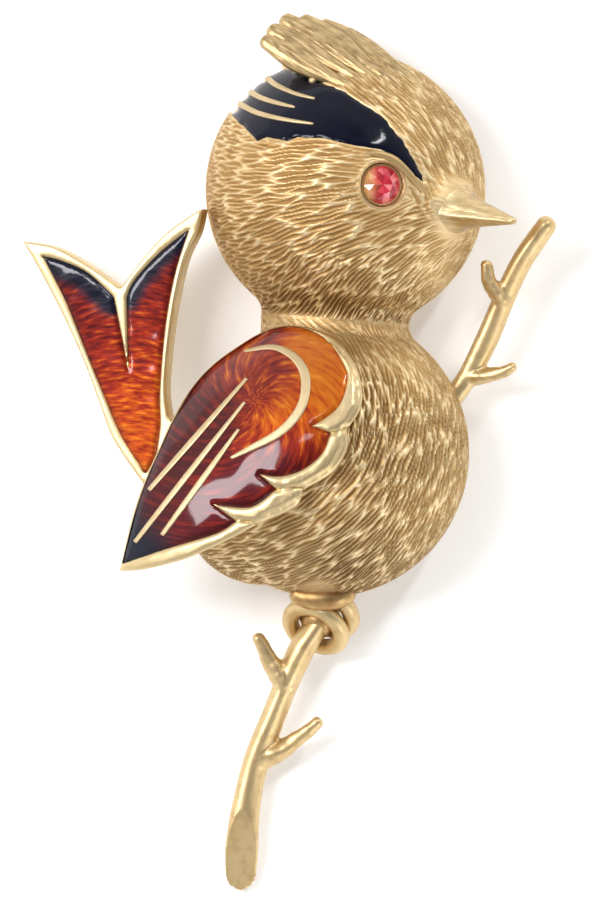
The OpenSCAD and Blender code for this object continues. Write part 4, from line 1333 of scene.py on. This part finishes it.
def tail_tones(flat):
    """Redder toward the tips, and black along the field's upper edges."""
    share = (flat - TAIL_ROOT[:2]) / TAIL_LENGTH
    share = share / np.array([math.cos(TAIL_TURN), 1])
    red = 0.36 + 0.50 * eased(share[:, 1] - 0.45 * share[:, 0], 0.0, 0.75)
    black = np.zeros(len(flat))
    for rows, reach in DARK_EDGES:
        line = np.array(TAIL_FIELD)[rows, :2]
        for start, end in zip(line[:-1], line[1:]):
            off = off_segment(share, start, end) * TAIL_LENGTH
            black = np.maximum(black, eased(-off, -reach, -reach + 0.9))
    return red, black


def tail_rays(flat):
    """Fine strokes across the tail, slightly bowed."""
    offset = flat - TAIL_ROOT[:2]
    bowed = offset[:, 1] + 0.05 * (offset[:, 0] + 1.5) ** 2
    return np.stack([offset[:, 0] * 0.9, bowed * 3.6, 0 * bowed], 1)


colour_glass(tail_glass, tail_tones, tail_rays)
tail_glass.data.materials.append(material_of("tail_enamel", cut_glass_finish))
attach(tail_glass, "root")
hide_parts("tail_enamel")

# The branch. A bent satin-gold twig of round wire that passes behind the body, with four
# cut side twigs and its foot filed off to a long oval slant.
# Middle line in shares of its length from the toes' place: [right, up, radius, rise].
STEM = [
    [-0.104, -0.345, 1.28, 0.00], [-0.103, -0.300, 1.28, 0.02], [-0.098, -0.250, 1.18, 0.14],
    [-0.083, -0.184, 1.00, 0.38], [-0.058, -0.122, 0.98, 0.62], [-0.037, -0.070, 1.00, 0.84],
    [-0.018, -0.028, 1.04, 1.00], [0.000, 0.000, 1.00, 1.00], [0.034, 0.053, 0.92, 1.00],
    [0.143, 0.245, 0.84, 1.00], [0.187, 0.314, 0.84, 1.00], [0.209, 0.346, 0.84, 1.00],
    [0.234, 0.396, 0.90, 1.20], [0.259, 0.456, 0.90, 1.50], [0.284, 0.506, 0.84, 1.80],
    [0.317, 0.553, 0.80, 2.10]]
# Twigs: the place they leave, a bend, and their tip, each [right, up, radius, rise].
TWIGS = [
    [[-0.083, -0.184, 1.00, 0.40], [-0.050, -0.170, 0.84, 0.50], [-0.022, -0.151, 0.62, 0.62],
     [0.002, -0.131, 0.52, 0.70]],
    [[-0.040, -0.080, 0.95, 0.84], [-0.058, -0.054, 0.80, 0.95], [-0.070, -0.032, 0.60, 1.00],
     [-0.079, -0.015, 0.52, 1.05]],
    [[0.207, 0.343, 0.80, 1.00], [0.236, 0.347, 0.64, 1.15], [0.254, 0.350, 0.52, 1.24],
     [0.270, 0.358, 0.42, 1.30]],
    [[0.257, 0.452, 0.80, 1.50], [0.244, 0.466, 0.68, 1.58], [0.237, 0.480, 0.58, 1.62],
     [0.234, 0.498, 0.50, 1.65]]]
BRANCH_LENGTH = 49.9
BRANCH_RADIUS = 0.86
GRIP = np.array([1.923, -12.030])
GAP = 0.05
FOOT_SLOPE = math.tan(math.radians(16))
FOOT_LIP = 0.60
FOOT_LEAST = 0.3
VOXEL = 0.095


def along_branch(rows):
    """Rows of a twig in millimetres: [right, up, out, radius]."""
    rows = np.asarray(rows, float)
    radius = BRANCH_RADIUS * rows[:, 2]
    height = radius + rows[:, 3] * (RIM_HEIGHT - GAP - 2 * radius)
    return np.stack([*(GRIP[:, None] + BRANCH_LENGTH * rows[:, :2].T), height, radius], 1)


def wood(turn, run):
    """Slight flats and swellings left by the file."""
    flats = 0.05 * np.sin(3 * turn + 9 * run)
    return 1 + flats + 0.04 * np.sin(17 * run + turn) + 0.03 * np.sin(41 * run)


def slant_cut(parts):
    """Files the foot of the branch to a slope that rises up the stem."""
    corners, faces = parts
    above = corners[:, 1] - along_branch(STEM[:1])[0, 1]
    level = FOOT_LIP * BRANCH_RADIUS + FOOT_SLOPE * (above + 1.3 * BRANCH_RADIUS)
    level = np.maximum(level, FOOT_LEAST)
    near = above < 7 * BRANCH_RADIUS
    corners[:, 2] = np.where(near, np.minimum(corners[:, 2], level), corners[:, 2])
    return corners, faces


parts = [slant_cut(tube_along(along_branch(STEM), 0.08, 72, shape=wood))]
parts += [tube_along(along_branch(rows), 0.1, 20, shape=wood) for rows in TWIGS]
branch = mesh_piece("twig", *joined(parts))
joining = branch.modifiers.new("grown_together", "REMESH")
joining.mode = "VOXEL"
joining.voxel_size = VOXEL * MM
joining.use_smooth_shade = True
softening = branch.modifiers.new("polished", "SMOOTH")
softening.factor = 0.5
softening.iterations = 8
bpy.context.view_layer.update()
shown = branch.evaluated_get(bpy.context.evaluated_depsgraph_get())
grown = bpy.data.meshes.new_from_object(shown)
branch.modifiers.clear()
branch.data = grown
for corner in grown.vertices:
    corner.co.z = max(corner.co.z, 0.0)


def satin_finish(wire):
    """Gold brushed along the stem, with brown spots where the file didn't reach."""
    cloud = wire.speckle(3.0, 3)
    brushed = wire.strokes(wire.place(), (6 / MM, 1.5 / MM, 6 / MM), 3.0)
    gold = wire.blend(rgb(0.76, 0.60, 0.34), rgb(0.60, 0.42, 0.19), cloud)
    worn = wire.speckle(0.8, 4)
    gold = wire.blend(gold, rgb(0.34, 0.20, 0.09), ((worn - 0.5) * 4.0).clamped() * 0.4)
    return {"Base Color": gold, "Metallic": 1.0, "Roughness": 0.36 + 0.14 * cloud,
            "Normal": wire.bump(brushed + worn * 0.25, 0.012)}


satin_gold = material_of("satin_gold", satin_finish)
branch.data.materials.clear()
branch.data.materials.append(satin_gold)
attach(branch, "root")
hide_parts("branch")

# The legs and toes. A short thick saddle under the body and two thick wire toes that curl
# round the branch, bent up and soldered, with the solder between them; saddle and solder are painted brown
# as painted shade under the body.
TOE_WAY = np.array([-0.42, -0.66, 0.62])
GRIP_WAY = np.array([0.54, 0.84, 0.0])
TOE_RING = 1.88
TOE_RADIUS = 0.58
# Each toe: its step along the branch in millimetres, and the turn in degrees where it starts.
TOES = ((0, 274), (1.35, 262))
SADDLE = [[0.75, -9.80, 4.3, 0.72], [1.6, -10.02, 4.5, 0.80], [2.4, -10.08, 4.6, 0.80],
          [3.3, -10.00, 4.5, 0.80], [4.0, -9.75, 4.3, 0.72]]
SOLDER_RADIUS = 1.38
grip_height = RIM_HEIGHT - GAP - BRANCH_RADIUS
solder_middle = np.array([GRIP[0] + 0.30, GRIP[1] + 0.65, grip_height - 0.35])


def toe_mesh(step, lap):
    """One toe, bent nearly all the way round the branch."""
    way = unit(TOE_WAY)
    side = unit(np.cross([0, 0, 1], way))
    middle = np.array([*GRIP, grip_height]) + step * GRIP_WAY
    turn = np.radians(np.linspace(lap, lap + 352, 90))[:, None]
    run = np.linspace(-1, 1, 90)
    path = (middle + TOE_RING * np.cos(turn) * side + TOE_RING * np.sin(turn) * np.cross(way, side)
            + 0.12 * run[:, None] * way)
    return tube(path, TOE_RADIUS * (1 - 0.10 * run ** 4), 28, front=way)


def saddle_shade_finish(wire):
    """Gold painted brown as painted shade under the body, with paler spots where the polish is worn
    through.
    """
    cloud = wire.speckle(0.9, 3)
    worn = (cloud * 2.6 - 0.9).clamped()
    return {"Base Color": wire.blend(rgb(0.36, 0.20, 0.08), rgb(0.62, 0.44, 0.20), worn),
            "Metallic": 1.0, "Roughness": 0.5 - 0.15 * cloud, "Normal": wire.bump(cloud, 0.03)}


saddle = mesh_piece("leg_saddle", *joined([tube_along(SADDLE, around=28),
                                           ball_mesh(solder_middle, SOLDER_RADIUS)]))
saddle.data.materials.append(material_of("saddle_shade_gold", saddle_shade_finish))
toes = mesh_piece("toes", *joined([toe_mesh(step, lap) for step, lap in TOES]))
toes.data.materials.append(satin_gold)
for piece in (saddle, toes):
    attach(piece, "root")
    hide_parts("bird_shell")

# The pin. The hidden fitting across the open back keeps its plain solid, in satin gold.
for thing in bpy.context.scene.objects:
    if thing.type == "MESH" and thing.name.split(".")[0] == "pin_fitting":
        for slot in thing.material_slots:
            slot.material = satin_gold
